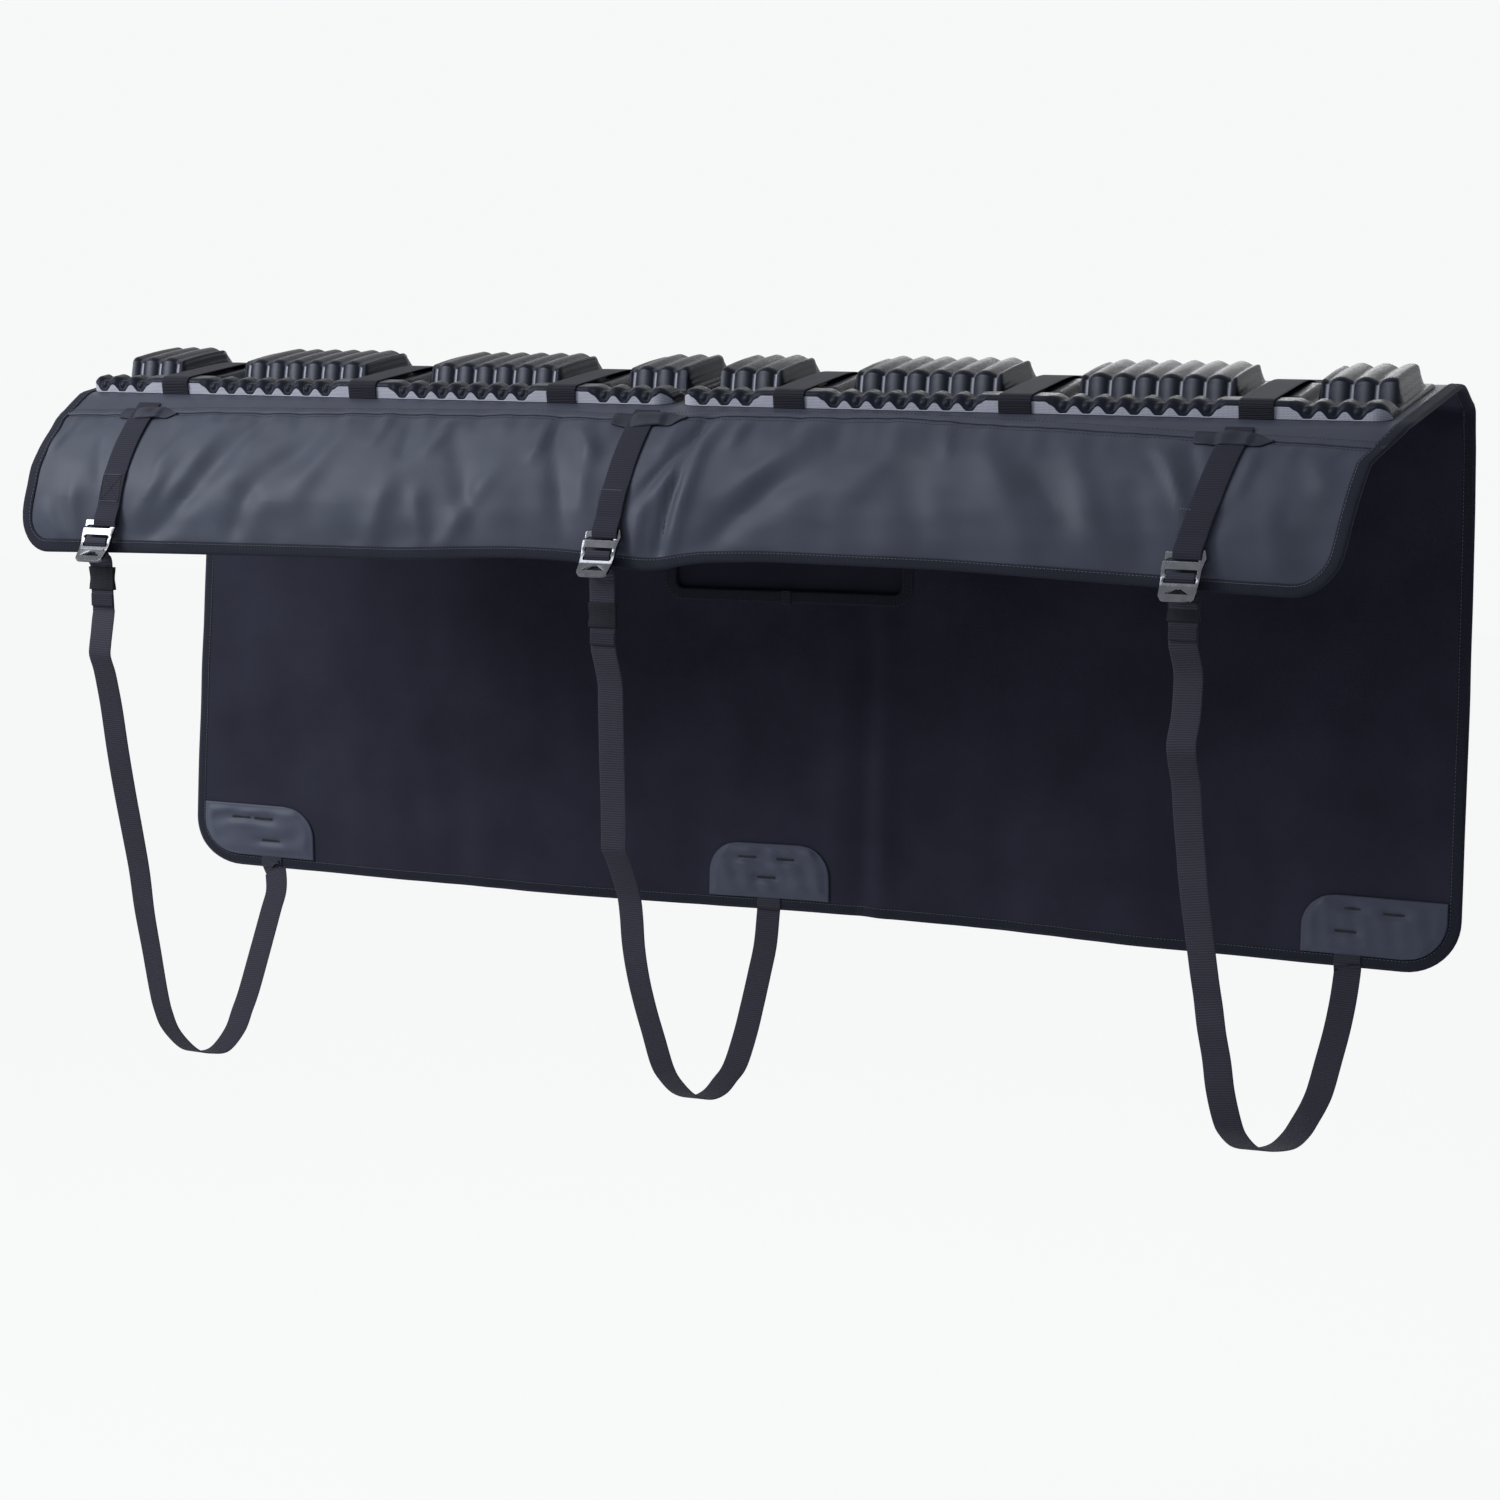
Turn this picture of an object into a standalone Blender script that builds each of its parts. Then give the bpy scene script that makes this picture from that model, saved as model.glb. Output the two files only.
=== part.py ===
"""Tailgate pad for carrying bicycles: a draped tarpaulin cover with ribbed foam rails, bike straps and
three tension straps with hook buckles.

The cloth pieces are drawn as a flat pattern (x across the pad, v along it, n out of it), cut along the
bend lines, and draped over the edge of the tailgate by one profile. v = 0 lies under the middle of the
foam rails, v grows to the rear, and n = 0 is the underside of the lining. +Y is the rear, +Z is up.
"""
import bisect
import math

import bmesh
import bpy
from mathutils import Matrix, Vector

# Clearance between pieces that touch
GAP = 0.0003

# Sheet sizes of the pad
PAD_WIDTH = 1.600
PAD_CORNER = 0.060
LINING = 0.0025
COVER = 0.0015
TAPE = 0.0008
TAPE_WIDTH = 0.013
STACK = LINING + GAP + COVER

# Drape over the tailgate
TOP_TILT = math.radians(7.5)
FRONT_BEND = 0.026
FRONT_BEND_ANGLE = math.radians(34.5)
BAND_STRAIGHT = 0.008
FLAP_CURVE = 0.134
FLAP_CURVE_ANGLE = math.radians(44)
FLAP_STRAIGHT = 0.037
REAR_MARGIN = 0.015
SHOULDER = 0.030
SHOULDER_ANGLE = math.radians(22)
SHOULDER_STRAIGHT = 0.036
FOLD_RADIUS = 0.008
REAR_DROP = 0.616
BEND_STEP = math.radians(11.2)
FLATNESS = math.radians(0.01)

# Foam rails: a ribbed front bar and a row of blocks on one thin base; lengths along them are in pitches
RAIL_DEPTH = 0.200
RAIL_SPLIT = 0.014
PITCH = 0.0254
RAIL_END = 1.10
RAIL_CORNER = 0.018
BASE = 0.004
BAR_DEPTH = 0.035
CREST = 0.018
VALLEY = 0.0125
NOTCH = 0.002
WALL = 0.0085
NOSE = CREST - WALL
GROOVE_GROUPS = ((0, 2), (6, 12), (16, 22), (26, 28))
STRAP_BAYS = (4, 14, 24)

# Raised blocks of the rails
BLOCK_FRONT = 0.072
BLOCK_BACK = 0.192
BLOCK_HEIGHT = 0.030
BLOCK_NOSE = 0.006
BLOCK_DRAFT = 0.005
BLOCK_BACK_DRAFT = 0.016
BLOCK_RIB = 0.004
BLOCK_FLUTE = 0.004
BLOCK_SIDE = 0.40
BLOCK_END_SIDE = 0.75
BLOCK_SIDE_DRAFT = 0.18

# Webbing
BIKE_STRAP_WIDTH = 0.036
STRAP_WIDTH = 0.030
WEBBING = 0.0014
ARCH_HEIGHT = 0.005
ARCH_START = 0.022
ARCH_PEAK = 0.080
ARCH_END = 0.140

# Hook buckle, heights from the middle of its window
BUCKLE_WIDTH = 0.042
BUCKLE_PLATE = 0.003
BUCKLE_SIDE = 0.0055
TAB_BOTTOM = -0.029
TAB_LINE = -0.012
TAB_ANGLE = math.radians(20)
LOWER_SLOT = (-0.007, -0.0015)
UPPER_SLOT = (0.003, 0.009)
MOUTH = (0.016, 0.021)
FINGER_TOP = 0.026
BUCKLE_ABOVE_HEM = 0.014

# Tension straps, left, middle and right: the outer ones are set in from the pad's ends
STRAP_INSET = (0.124, 0.192)
STRAP_MIDDLE = -0.028
SEAM_DRIFT = (0.006, 0.006, 0.027)
ANCHOR_INSET = (0.100, 0.118)
ANCHOR_MIDDLE = -0.013
STRAP_X = (STRAP_INSET[0] - PAD_WIDTH / 2, STRAP_MIDDLE, PAD_WIDTH / 2 - STRAP_INSET[1])
SEAM_X = tuple(x + drift for x, drift in zip(STRAP_X, SEAM_DRIFT))
ANCHOR_X = (ANCHOR_INSET[0] - PAD_WIDTH / 2, ANCHOR_MIDDLE, PAD_WIDTH / 2 - ANCHOR_INSET[1])
KEEPER_TOP = (-0.031, -0.053, -0.019)
TAIL_KEEPER = 0.026
TAIL_END = 0.019
ELASTIC = 0.001
BOX_STITCH = (0.040, 0.072)
FRONT_PULL = (0.100, -0.600)
REAR_PULL = (-0.160, -0.320)

# Keeper tabs over the seam
TAB_LENGTH = 0.088
TAB_HEIGHT = 0.016
TAB_THICKNESS = 0.0012

# Anchor patches inside the rear hem
PATCH = 0.0045
PATCH_HEIGHT = 0.066
PATCH_CORNER = 0.040
PATCH_CENTRE_WIDTH = 0.156
PATCH_SIDE_WIDTH = 0.140
STRAP_TUCK = 0.045

# Window in the rear panel
WINDOW_WIDTH = 0.306
WINDOW_HEIGHT = 0.140
WINDOW_BELOW_FOLD = 0.099
WINDOW_X = 0.007
WINDOW_CORNER = 0.010
WINDOW_TAPE = 0.014
WINDOW_LAP = 0.022
PULL_TAB = (0.012, 0.016)

# Derived lines of the flat pattern
HALF = PAD_WIDTH / 2
RAIL_FRONT = -RAIL_DEPTH / 2
SEAM = RAIL_FRONT - FRONT_BEND - BAND_STRAIGHT
FRONT_HEM = SEAM - FLAP_CURVE - FLAP_STRAIGHT
SHOULDER_V = RAIL_DEPTH / 2 + REAR_MARGIN
FOLD_TURN = math.pi / 2 + TOP_TILT - SHOULDER_ANGLE
FOLD_V = SHOULDER_V + SHOULDER + SHOULDER_STRAIGHT
REAR_V = FOLD_V + FOLD_RADIUS * FOLD_TURN
REAR_HEM = REAR_V + REAR_DROP
RAIL_START = RAIL_SPLIT / 2

# Each run of the drape is its length and the angle that it turns
FRONT_RUNS = (
    (-RAIL_FRONT, 0.0),
    (FRONT_BEND, FRONT_BEND_ANGLE),
    (BAND_STRAIGHT, 0.0),
    (FLAP_CURVE, FLAP_CURVE_ANGLE),
    (FLAP_STRAIGHT, 0.0),
)
REAR_RUNS = (
    (SHOULDER_V, 0.0),
    (SHOULDER, -SHOULDER_ANGLE),
    (SHOULDER_STRAIGHT, 0.0),
    (FOLD_RADIUS * FOLD_TURN, -FOLD_TURN),
    (REAR_DROP, 0.0),
)


# Scene and materials

def clear_scene():
    for obj in list(bpy.data.objects):
        bpy.data.objects.remove(obj, do_unlink=True)


def collection(name):
    made = bpy.data.collections.new(name)
    bpy.context.scene.collection.children.link(made)
    return made


def material(name, colour, roughness, metallic=0.0):
    made = bpy.data.materials.new(name)
    made.use_nodes = True
    shader = made.node_tree.nodes["Principled BSDF"]
    shader.inputs["Base Color"].default_value = (*colour, 1.0)
    shader.inputs["Roughness"].default_value = roughness
    shader.inputs["Metallic"].default_value = metallic
    made.diffuse_color = (*colour, 1.0)
    return made


def add(name, mesh, mat):
    mesh.name = name
    mesh.materials.clear()
    mesh.materials.append(mat)
    obj = bpy.data.objects.new(name, mesh)
    PARTS.objects.link(obj)
    return obj


# The drape

def step(y, z, heading, length, turn):
    """The end of a straight or an arc that starts at (y, z)."""
    if abs(turn) < 1e-9:
        return y + length * math.cos(heading), z + length * math.sin(heading), heading
    radius = length / turn
    end = heading + turn
    return (y + radius * (math.sin(end) - math.sin(heading)),
            z - radius * (math.cos(end) - math.cos(heading)), end)


def profile(v):
    """Place and slope of the lining's underside at v."""
    runs = REAR_RUNS if v >= 0 else FRONT_RUNS
    heading = TOP_TILT if v >= 0 else TOP_TILT + math.pi
    y, z, left = 0.0, 0.0, abs(v)
    for length, turn in runs:
        part = min(left, length)
        y, z, heading = step(y, z, heading, part, turn * part / length)
        left -= part
    if left > 0:
        y, z, heading = step(y, z, heading, left, 0.0)
    return y, z, heading if v >= 0 else heading - math.pi


def drape(x, v, n):
    y, z, slope = profile(v)
    return Vector((x, y - n * math.sin(slope), z + n * math.cos(slope)))


def bend_lines():
    """v of every line that the flat pieces are cut at before they are draped."""
    lines = []
    for runs, side in ((REAR_RUNS, 1), (FRONT_RUNS, -1)):
        start = 0.0
        for length, turn in runs:
            cuts = max(1, math.ceil(abs(turn) / BEND_STEP))
            lines += [side * (start + length * i / cuts) for i in range(1, cuts + 1)]
            start += length
    return sorted(lines)


def lay(lines, x, v, n):
    """Place on the flat facet between the two bend lines next to v."""
    after = bisect.bisect(lines, v)
    if not 0 < after < len(lines):
        return drape(x, v, n)
    low, high = lines[after - 1:after + 1]
    return drape(x, low, n).lerp(drape(x, high, n), (v - low) / (high - low))


def drape_mesh(mesh):
    """Cuts a flat mesh along the bend lines and lays it over the tailgate."""
    lines = bend_lines()
    bm = bmesh.new()
    bm.from_mesh(mesh)
    low = min(vert.co.y for vert in bm.verts)
    high = max(vert.co.y for vert in bm.verts)
    for line in lines:
        if low + 1e-4 < line < high - 1e-4:
            everything = bm.verts[:] + bm.edges[:] + bm.faces[:]
            bmesh.ops.bisect_plane(bm, geom=everything, dist=1e-6, plane_co=(0, line, 0), plane_no=(0, 1, 0))
    for vert in bm.verts:
        vert.co = lay(lines, *vert.co)
    bmesh.ops.dissolve_limit(bm, angle_limit=FLATNESS, verts=bm.verts[:], edges=bm.edges[:])
    bm.to_mesh(mesh)
    bm.free()
    return mesh


# Flat shapes

def filleted(corners, steps=5):
    """Outline through corners (x, y, radius), each rounded by an arc."""
    points = []
    count = len(corners)
    for i, (x, y, radius) in enumerate(corners):
        here = Vector((x, y))
        before = (Vector(corners[i - 1][:2]) - here).normalized()
        after = (Vector(corners[(i + 1) % count][:2]) - here).normalized()
        if radius <= 0:
            points.append((x, y))
            continue
        half = before.angle(after) / 2
        reach = radius / math.tan(half)
        centre = here + (before + after).normalized() * radius / math.sin(half)
        start = here + before * reach - centre
        finish = here + after * reach - centre
        turn = start.angle_signed(finish)
        for k in range(steps + 1):
            arm = start.copy()
            arm.rotate(Matrix.Rotation(-turn * k / steps, 2))
            points.append(tuple(centre + arm))
    return points


def rectangle(x0, x1, y0, y1, radius, grow=0.0, steps=3):
    """Rounded rectangle, grown on every side."""
    x0, x1, y0, y1, radius = x0 - grow, x1 + grow, y0 - grow, y1 + grow, radius + grow
    return filleted([(x0, y0, radius), (x1, y0, radius), (x1, y1, radius), (x0, y1, radius)], steps)


def flat_mesh(loops, low, high):
    """Closed plate between two heights; later loops are holes."""
    curve = bpy.data.curves.new("outline", "CURVE")
    curve.dimensions = "2D"
    curve.fill_mode = "BOTH"
    curve.extrude = (high - low) / 2
    for loop in loops:
        spline = curve.splines.new("POLY")
        spline.points.add(len(loop) - 1)
        for point, (x, y) in zip(spline.points, loop):
            point.co = (x, y, 0, 1)
        spline.use_cyclic_u = True
    return curve_mesh(curve, Matrix.Translation((0, 0, (low + high) / 2)))


def curve_mesh(curve, matrix):
    """Welded mesh of a curve."""
    obj = bpy.data.objects.new("outline", curve)
    bpy.context.scene.collection.objects.link(obj)
    bpy.context.view_layer.update()
    mesh = bpy.data.meshes.new_from_object(obj.evaluated_get(bpy.context.evaluated_depsgraph_get()))
    bpy.data.objects.remove(obj, do_unlink=True)
    bpy.data.curves.remove(curve)
    bm = bmesh.new()
    bm.from_mesh(mesh)
    bmesh.ops.remove_doubles(bm, verts=bm.verts[:], dist=1e-6)
    bm.transform(matrix)
    bm.to_mesh(mesh)
    bm.free()
    return mesh


def subtract(mesh, cutter_mesh):
    """The mesh less another one."""
    body = bpy.data.objects.new("body", mesh)
    cutter = bpy.data.objects.new("cutter", cutter_mesh)
    cutter.hide_render = True
    cutter.display_type = "WIRE"
    bpy.context.scene.collection.objects.link(body)
    CUTTERS.objects.link(cutter)
    boolean = body.modifiers.new("cut", "BOOLEAN")
    boolean.operation = "DIFFERENCE"
    boolean.object = cutter
    bpy.context.view_layer.update()
    result = bpy.data.meshes.new_from_object(body.evaluated_get(bpy.context.evaluated_depsgraph_get()))
    bpy.data.objects.remove(body, do_unlink=True)
    bpy.data.objects.remove(cutter, do_unlink=True)
    return result


def smooth_route(points, steps):
    """Points on a smooth curve through a route."""
    route = [Vector(point) for point in points]
    ends = [2 * route[0] - route[1], *route, 2 * route[-1] - route[-2]]
    curve = []
    for a, b, c, d in zip(ends, ends[1:], ends[2:], ends[3:]):
        for k in range(steps):
            t = k / steps
            curve.append(0.5 * ((2 * b) + (c - a) * t + (2 * a - 5 * b + 4 * c - d) * t ** 2
                                + (3 * b - a - 3 * c + d) * t ** 3))
    return [*curve, route[-1]]


def ribbon_mesh(route, width, thickness):
    """Closed band along a route in the (y, z) plane, its width along X."""
    curve = bpy.data.curves.new("band", "CURVE")
    curve.dimensions = "2D"
    curve.fill_mode = "NONE"
    curve.extrude = width / 2
    spline = curve.splines.new("POLY")
    spline.points.add(len(route) - 1)
    for point, place in zip(spline.points, route):
        point.co = (place[0], place[1], 0, 1)
    upright = Matrix(((0, 0, 1, 0), (1, 0, 0, 0), (0, 1, 0, 0), (0, 0, 0, 1)))
    mesh = curve_mesh(curve, upright)
    obj = bpy.data.objects.new("band", mesh)
    bpy.context.scene.collection.objects.link(obj)
    solid = obj.modifiers.new("thickness", "SOLIDIFY")
    solid.thickness = thickness
    solid.offset = 0
    solid.use_even_offset = True
    bpy.context.view_layer.update()
    result = bpy.data.meshes.new_from_object(obj.evaluated_get(bpy.context.evaluated_depsgraph_get()))
    bpy.data.objects.remove(obj, do_unlink=True)
    faces_out(result)
    return result


def faces_out(mesh):
    bm = bmesh.new()
    bm.from_mesh(mesh)
    bmesh.ops.recalc_face_normals(bm, faces=bm.faces[:])
    bm.to_mesh(mesh)
    bm.free()


# Cloth panels and their bindings

def window_outline(grow=0.0):
    top = REAR_V + WINDOW_BELOW_FOLD
    half = WINDOW_WIDTH / 2
    return rectangle(WINDOW_X - half, WINDOW_X + half, top, top + WINDOW_HEIGHT, WINDOW_CORNER, grow)


def pad_outline(grow=0.0):
    return rectangle(-HALF, HALF, FRONT_HEM, REAR_HEM, PAD_CORNER, grow, 5)


def make_panels():
    """The lining is pressed thinner below the bindings, so that they lie flush with its underside."""
    lining = flat_mesh([pad_outline(), window_outline()], 0, LINING)
    edge = flat_mesh([pad_outline(PAD_CORNER), pad_outline(-TAPE_WIDTH - GAP)], -LINING, TAPE + GAP)
    frame = flat_mesh([window_outline(WINDOW_TAPE + GAP)], -LINING, TAPE + GAP)
    lining = subtract(subtract(lining, edge), frame)
    add("lining", drape_mesh(lining), FLEECE)
    flap = filleted([(-HALF, FRONT_HEM, PAD_CORNER), (HALF, FRONT_HEM, PAD_CORNER),
                     (HALF, SEAM - GAP, 0), (-HALF, SEAM - GAP, 0)])
    add("front_flap", drape_mesh(flat_mesh([flap], LINING + GAP, STACK)), TARPAULIN)
    main = filleted([(-HALF, SEAM, 0), (HALF, SEAM, 0),
                     (HALF, REAR_HEM, PAD_CORNER), (-HALF, REAR_HEM, PAD_CORNER)])
    add("main_cover", drape_mesh(flat_mesh([main, window_outline()], LINING + GAP, STACK)), TARPAULIN)


def make_edge_binding():
    low, high = TAPE, STACK + GAP
    ring = flat_mesh([pad_outline(GAP + TAPE), pad_outline(-TAPE_WIDTH)], low - TAPE, high + TAPE)
    ring = subtract(ring, flat_mesh([pad_outline(GAP)], low, high))
    add("edge_binding", drape_mesh(ring), BINDING)


def make_window():
    low, high = TAPE, STACK + GAP
    ring = flat_mesh([window_outline(WINDOW_TAPE), window_outline(-GAP - TAPE)], low - TAPE, high + TAPE)
    ring = subtract(ring, flat_mesh([window_outline(WINDOW_TAPE + PAD_CORNER), window_outline(-GAP)], low, high))
    add("window_binding", drape_mesh(ring), BINDING)
    outside = high + TAPE + GAP
    add("window_flap", drape_mesh(flat_mesh([window_outline(WINDOW_LAP)], outside, outside + COVER)), TARPAULIN)
    width, height = PULL_TAB
    bottom = REAR_V + WINDOW_BELOW_FOLD + WINDOW_HEIGHT
    tab = rectangle(WINDOW_X - width / 2, WINDOW_X + width / 2, bottom - GAP - TAPE, bottom + height, width / 6)
    inside = low - TAPE - GAP
    add("window_pull_tab", drape_mesh(flat_mesh([tab], inside - TAB_THICKNESS, inside)), WEBBING_BLACK)


# Foam rails

def groove_wave(along):
    """1 on a crest or a plateau and 0 in a groove, for a place along the rail in pitches."""
    for first, last in GROOVE_GROUPS:
        if first - 0.5 <= along <= last + 0.5:
            return (1 - math.cos(2 * math.pi * (along - first))) / 2
    return 1.0


def rounded_rise(distance, radius, low, high):
    """Height of a quarter round at a distance in from its edge."""
    if distance >= radius:
        return high
    return low + (high - low) * math.sqrt(1 - (1 - distance / radius) ** 2)


def block_span(group):
    """Foot and top of a block along the rail, in pitches."""
    first, last = group
    before = BLOCK_END_SIDE if group == GROOVE_GROUPS[0] else BLOCK_SIDE
    after = BLOCK_END_SIDE if group == GROOVE_GROUPS[-1] else BLOCK_SIDE
    return first - before, last + after


def rail_columns():
    """Places of the cross-sections along the rail, in pitches from the first groove."""
    last_groove = GROOVE_GROUPS[-1][1]
    places = set()
    for inset in (0.0, 0.15, 0.5, 1.0):
        reach = RAIL_END - inset * NOSE / PITCH
        places |= {-reach, last_groove + reach}
    for first, last in GROOVE_GROUPS:
        for groove in range(first, last + 1):
            places |= {groove - 0.17, groove, groove + 0.17}
            if groove < last:
                places.add(groove + 0.5)
        foot, end = block_span((first, last))
        places |= {foot, foot + BLOCK_SIDE_DRAFT, end - BLOCK_SIDE_DRAFT, end}
        if first > 0:
            places.add(first - 0.5)
        if last < last_groove:
            places.add(last + 0.5)
    return sorted(places)


def rail_section(along):
    """Outline (depth, height) of the rail at a place along it, from front foot to back foot."""
    wave = groove_wave(along)
    from_end = max(0.0, (min(along, GROOVE_GROUPS[-1][1] - along) + RAIL_END) * PITCH)
    corner = 0.0
    if from_end < RAIL_CORNER:
        corner = RAIL_CORNER - math.sqrt(RAIL_CORNER ** 2 - (RAIL_CORNER - from_end) ** 2)
    ridge = VALLEY + (CREST - VALLEY) * wave
    ridge = min(ridge, rounded_rise(from_end, NOSE, WALL, CREST))
    bar = [(corner, 0.0)]
    for inset in (0.0, 0.3, 0.65, 1.25):
        crest_part = rounded_rise(inset * NOSE, NOSE, WALL, CREST)
        notch_part = NOTCH + (VALLEY - NOTCH) * min(1.0, inset / 1.25) ** 1.5
        bar.append((corner + inset * NOSE, min(ridge, notch_part + (crest_part - notch_part) * wave)))
    bar.append((BAR_DEPTH - NOSE, ridge))
    bar.append((BAR_DEPTH - 0.3 * NOSE, BASE + 0.6 * (ridge - BASE)))
    bar.append((BAR_DEPTH, BASE))
    return [*bar, *block_section(along, wave), (RAIL_DEPTH, BASE), (RAIL_DEPTH, 0.0)]


def block_section(along, wave):
    """The raised block's part of a cross-section, level with the base where there is no block."""
    front, back = BLOCK_FRONT + BLOCK_FLUTE * (1 - wave), BLOCK_BACK
    top = shoulder = BASE
    for group in GROOVE_GROUPS:
        foot, end = block_span(group)
        if foot + BLOCK_SIDE_DRAFT - 1e-6 <= along <= end - BLOCK_SIDE_DRAFT + 1e-6:
            top = BLOCK_HEIGHT - BLOCK_RIB * (1 - wave)
            shoulder = top - BLOCK_NOSE
    return [
        (front, BASE),
        (front + BLOCK_DRAFT, shoulder),
        (front + BLOCK_DRAFT + BLOCK_NOSE, top),
        (back - BLOCK_BACK_DRAFT - BLOCK_NOSE, top),
        (back - BLOCK_BACK_DRAFT, shoulder),
        (back, BASE),
    ]


def rail_mesh(side):
    """Loft through the cross-sections of one rail."""
    bm = bmesh.new()
    rows = []
    for along in rail_columns():
        x = side * (RAIL_START + (along + RAIL_END) * PITCH)
        section = [(x, RAIL_FRONT + depth, STACK + GAP + height) for depth, height in rail_section(along)]
        rows.append([bm.verts.new(place) for place in section])
    for row, after in zip(rows, rows[1:]):
        for a, b, c, d in zip(row, row[1:], after[1:], after):
            bm.faces.new((a, b, c, d))
    base = [row[0] for row in rows] + [row[-1] for row in reversed(rows)]
    bm.faces.new(base)
    for row in (rows[0], rows[-1]):
        bm.faces.new(row)
    bmesh.ops.recalc_face_normals(bm, faces=bm.faces[:])
    mesh = bpy.data.meshes.new("rail")
    bm.to_mesh(mesh)
    bm.free()
    return drape_mesh(mesh)


def make_rails():
    for side, name in ((-1, "foam_rail_left"), (1, "foam_rail_right")):
        rail = rail_mesh(side)
        rail.shade_smooth()
        rail.set_sharp_from_angle(angle=math.radians(40))
        add(name, rail, FOAM)


def make_bike_straps():
    """Six bands that rise at the front of a bay, arch over the foam and go down behind it."""
    lift = GAP + WEBBING / 2
    turn = [math.radians(180 - 15 * k) for k in range(7)]
    nose = [(NOSE + (NOSE + lift) * math.cos(a), WALL + (NOSE + lift) * math.sin(a)) for a in turn]
    arch = [(ARCH_START, CREST + lift), (ARCH_PEAK, CREST + lift + ARCH_HEIGHT), (ARCH_END, BASE + lift)]
    shaped = smooth_route([arch[0], (ARCH_START + 0.4 * (ARCH_PEAK - ARCH_START), arch[0][1] + 0.6 * ARCH_HEIGHT),
                           arch[1], (ARCH_PEAK + 0.55 * (ARCH_END - ARCH_PEAK), 0.5 * (arch[1][1] + arch[2][1])),
                           arch[2]], 3)
    behind = RAIL_DEPTH + lift
    route = [(-lift, 0.0), *nose, *shaped, (behind - 0.3 * lift, BASE + lift), (behind, BASE), (behind, 0.0)]
    flat = [(RAIL_FRONT + depth, STACK + GAP + height) for depth, height in route]
    number = 0
    for side in (-1, 1):
        bays = sorted(STRAP_BAYS, reverse=side < 0)
        for bay in bays:
            number += 1
            mesh = ribbon_mesh(flat, BIKE_STRAP_WIDTH, WEBBING)
            x = side * (RAIL_START + (bay + RAIL_END) * PITCH)
            mesh.transform(Matrix.Translation((x, 0, 0)))
            add("bike_strap_%d" % number, drape_mesh(mesh), WEBBING_BLACK)


# Tension straps

SIDES = ("left", "middle", "right")
BUCKLE_V = FRONT_HEM + BUCKLE_ABOVE_HEM
WRAP = GAP + WEBBING / 2
CUT = WRAP * math.tan(math.pi / 8)
PLATE_BACK = BUCKLE_PLATE / 2 + WRAP
PLATE_EDGE = BUCKLE_PLATE / 2 + CUT
STANDING_BACK = PLATE_BACK + WEBBING + GAP
PLATE_N = STACK + 2 * GAP + TAPE + STANDING_BACK + WEBBING / 2 + GAP


def buckle_point(height, out):
    """World (y, z) of a place on the buckle's side view."""
    place = drape(0, BUCKLE_V, PLATE_N + out)
    slope = profile(BUCKLE_V)[2]
    return Vector((place.y + height * math.cos(slope), place.z + height * math.sin(slope)))


def make_upper_straps():
    """Front bands: down the flap, round the buckle's finger and back behind themselves."""
    single = STACK + GAP + WEBBING / 2
    double = single + WEBBING + GAP
    bar_low, bar_high = BUCKLE_V + MOUTH[1], BUCKLE_V + FINGER_TOP
    box_low, box_high = BOX_STITCH
    route = [
        (SEAM + TAB_HEIGHT / 2 + BUCKLE_PLATE, single),
        (SEAM, single),
        (BUCKLE_V + box_high + 0.010, single),
        (BUCKLE_V + box_high + GAP, double),
        (BUCKLE_V + box_low, double),
        (bar_high, PLATE_N + PLATE_BACK),
        (bar_low - CUT, PLATE_N + PLATE_BACK),
        (bar_low - WRAP, PLATE_N + PLATE_EDGE),
        (bar_low - WRAP, PLATE_N - PLATE_EDGE),
        (bar_low - CUT, PLATE_N - PLATE_BACK),
        (bar_high, PLATE_N - PLATE_BACK),
        (BUCKLE_V + box_low - 0.003, single),
        (BUCKLE_V + box_high - 0.002, single),
    ]
    for name, seam_x, strap_x in zip(SIDES, SEAM_X, STRAP_X):
        mesh = ribbon_mesh(route, STRAP_WIDTH, WEBBING)
        for vert in mesh.vertices:
            part = min(1, max(0, (vert.co.y - BUCKLE_V - FINGER_TOP) / (SEAM - BUCKLE_V - FINGER_TOP)))
            vert.co.x += strap_x + (seam_x - strap_x) * part
        add("upper_strap_" + name, drape_mesh(mesh), WEBBING_BLACK)


def make_strap_keepers():
    """Tabs across the seam that the front bands run under."""
    low = STACK + GAP + TAB_THICKNESS / 2
    high = low + WEBBING + GAP
    inner, outer, end = STRAP_WIDTH / 2 + 0.002, STRAP_WIDTH / 2 + 0.008, TAB_LENGTH / 2
    section = [(-end, low), (-outer, low), (-inner, high), (inner, high), (outer, low), (end, low)]
    turn = Matrix(((0, 1, 0, 0), (1, 0, 0, 0), (0, 0, 1, 0), (0, 0, 0, 1)))
    for name, seam_x in zip(SIDES, SEAM_X):
        mesh = ribbon_mesh(section, TAB_HEIGHT, TAB_THICKNESS)
        mesh.transform(turn)
        mesh.flip_normals()
        for vert in mesh.vertices:
            if vert.co.x > end - 0.001:
                vert.co.y *= 0.25
            elif vert.co.x < -end + 0.001:
                vert.co.y *= 0.8
        mesh.transform(Matrix.Translation((seam_x, SEAM, 0)))
        add("strap_keeper_" + name, drape_mesh(mesh), TARPAULIN)


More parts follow.
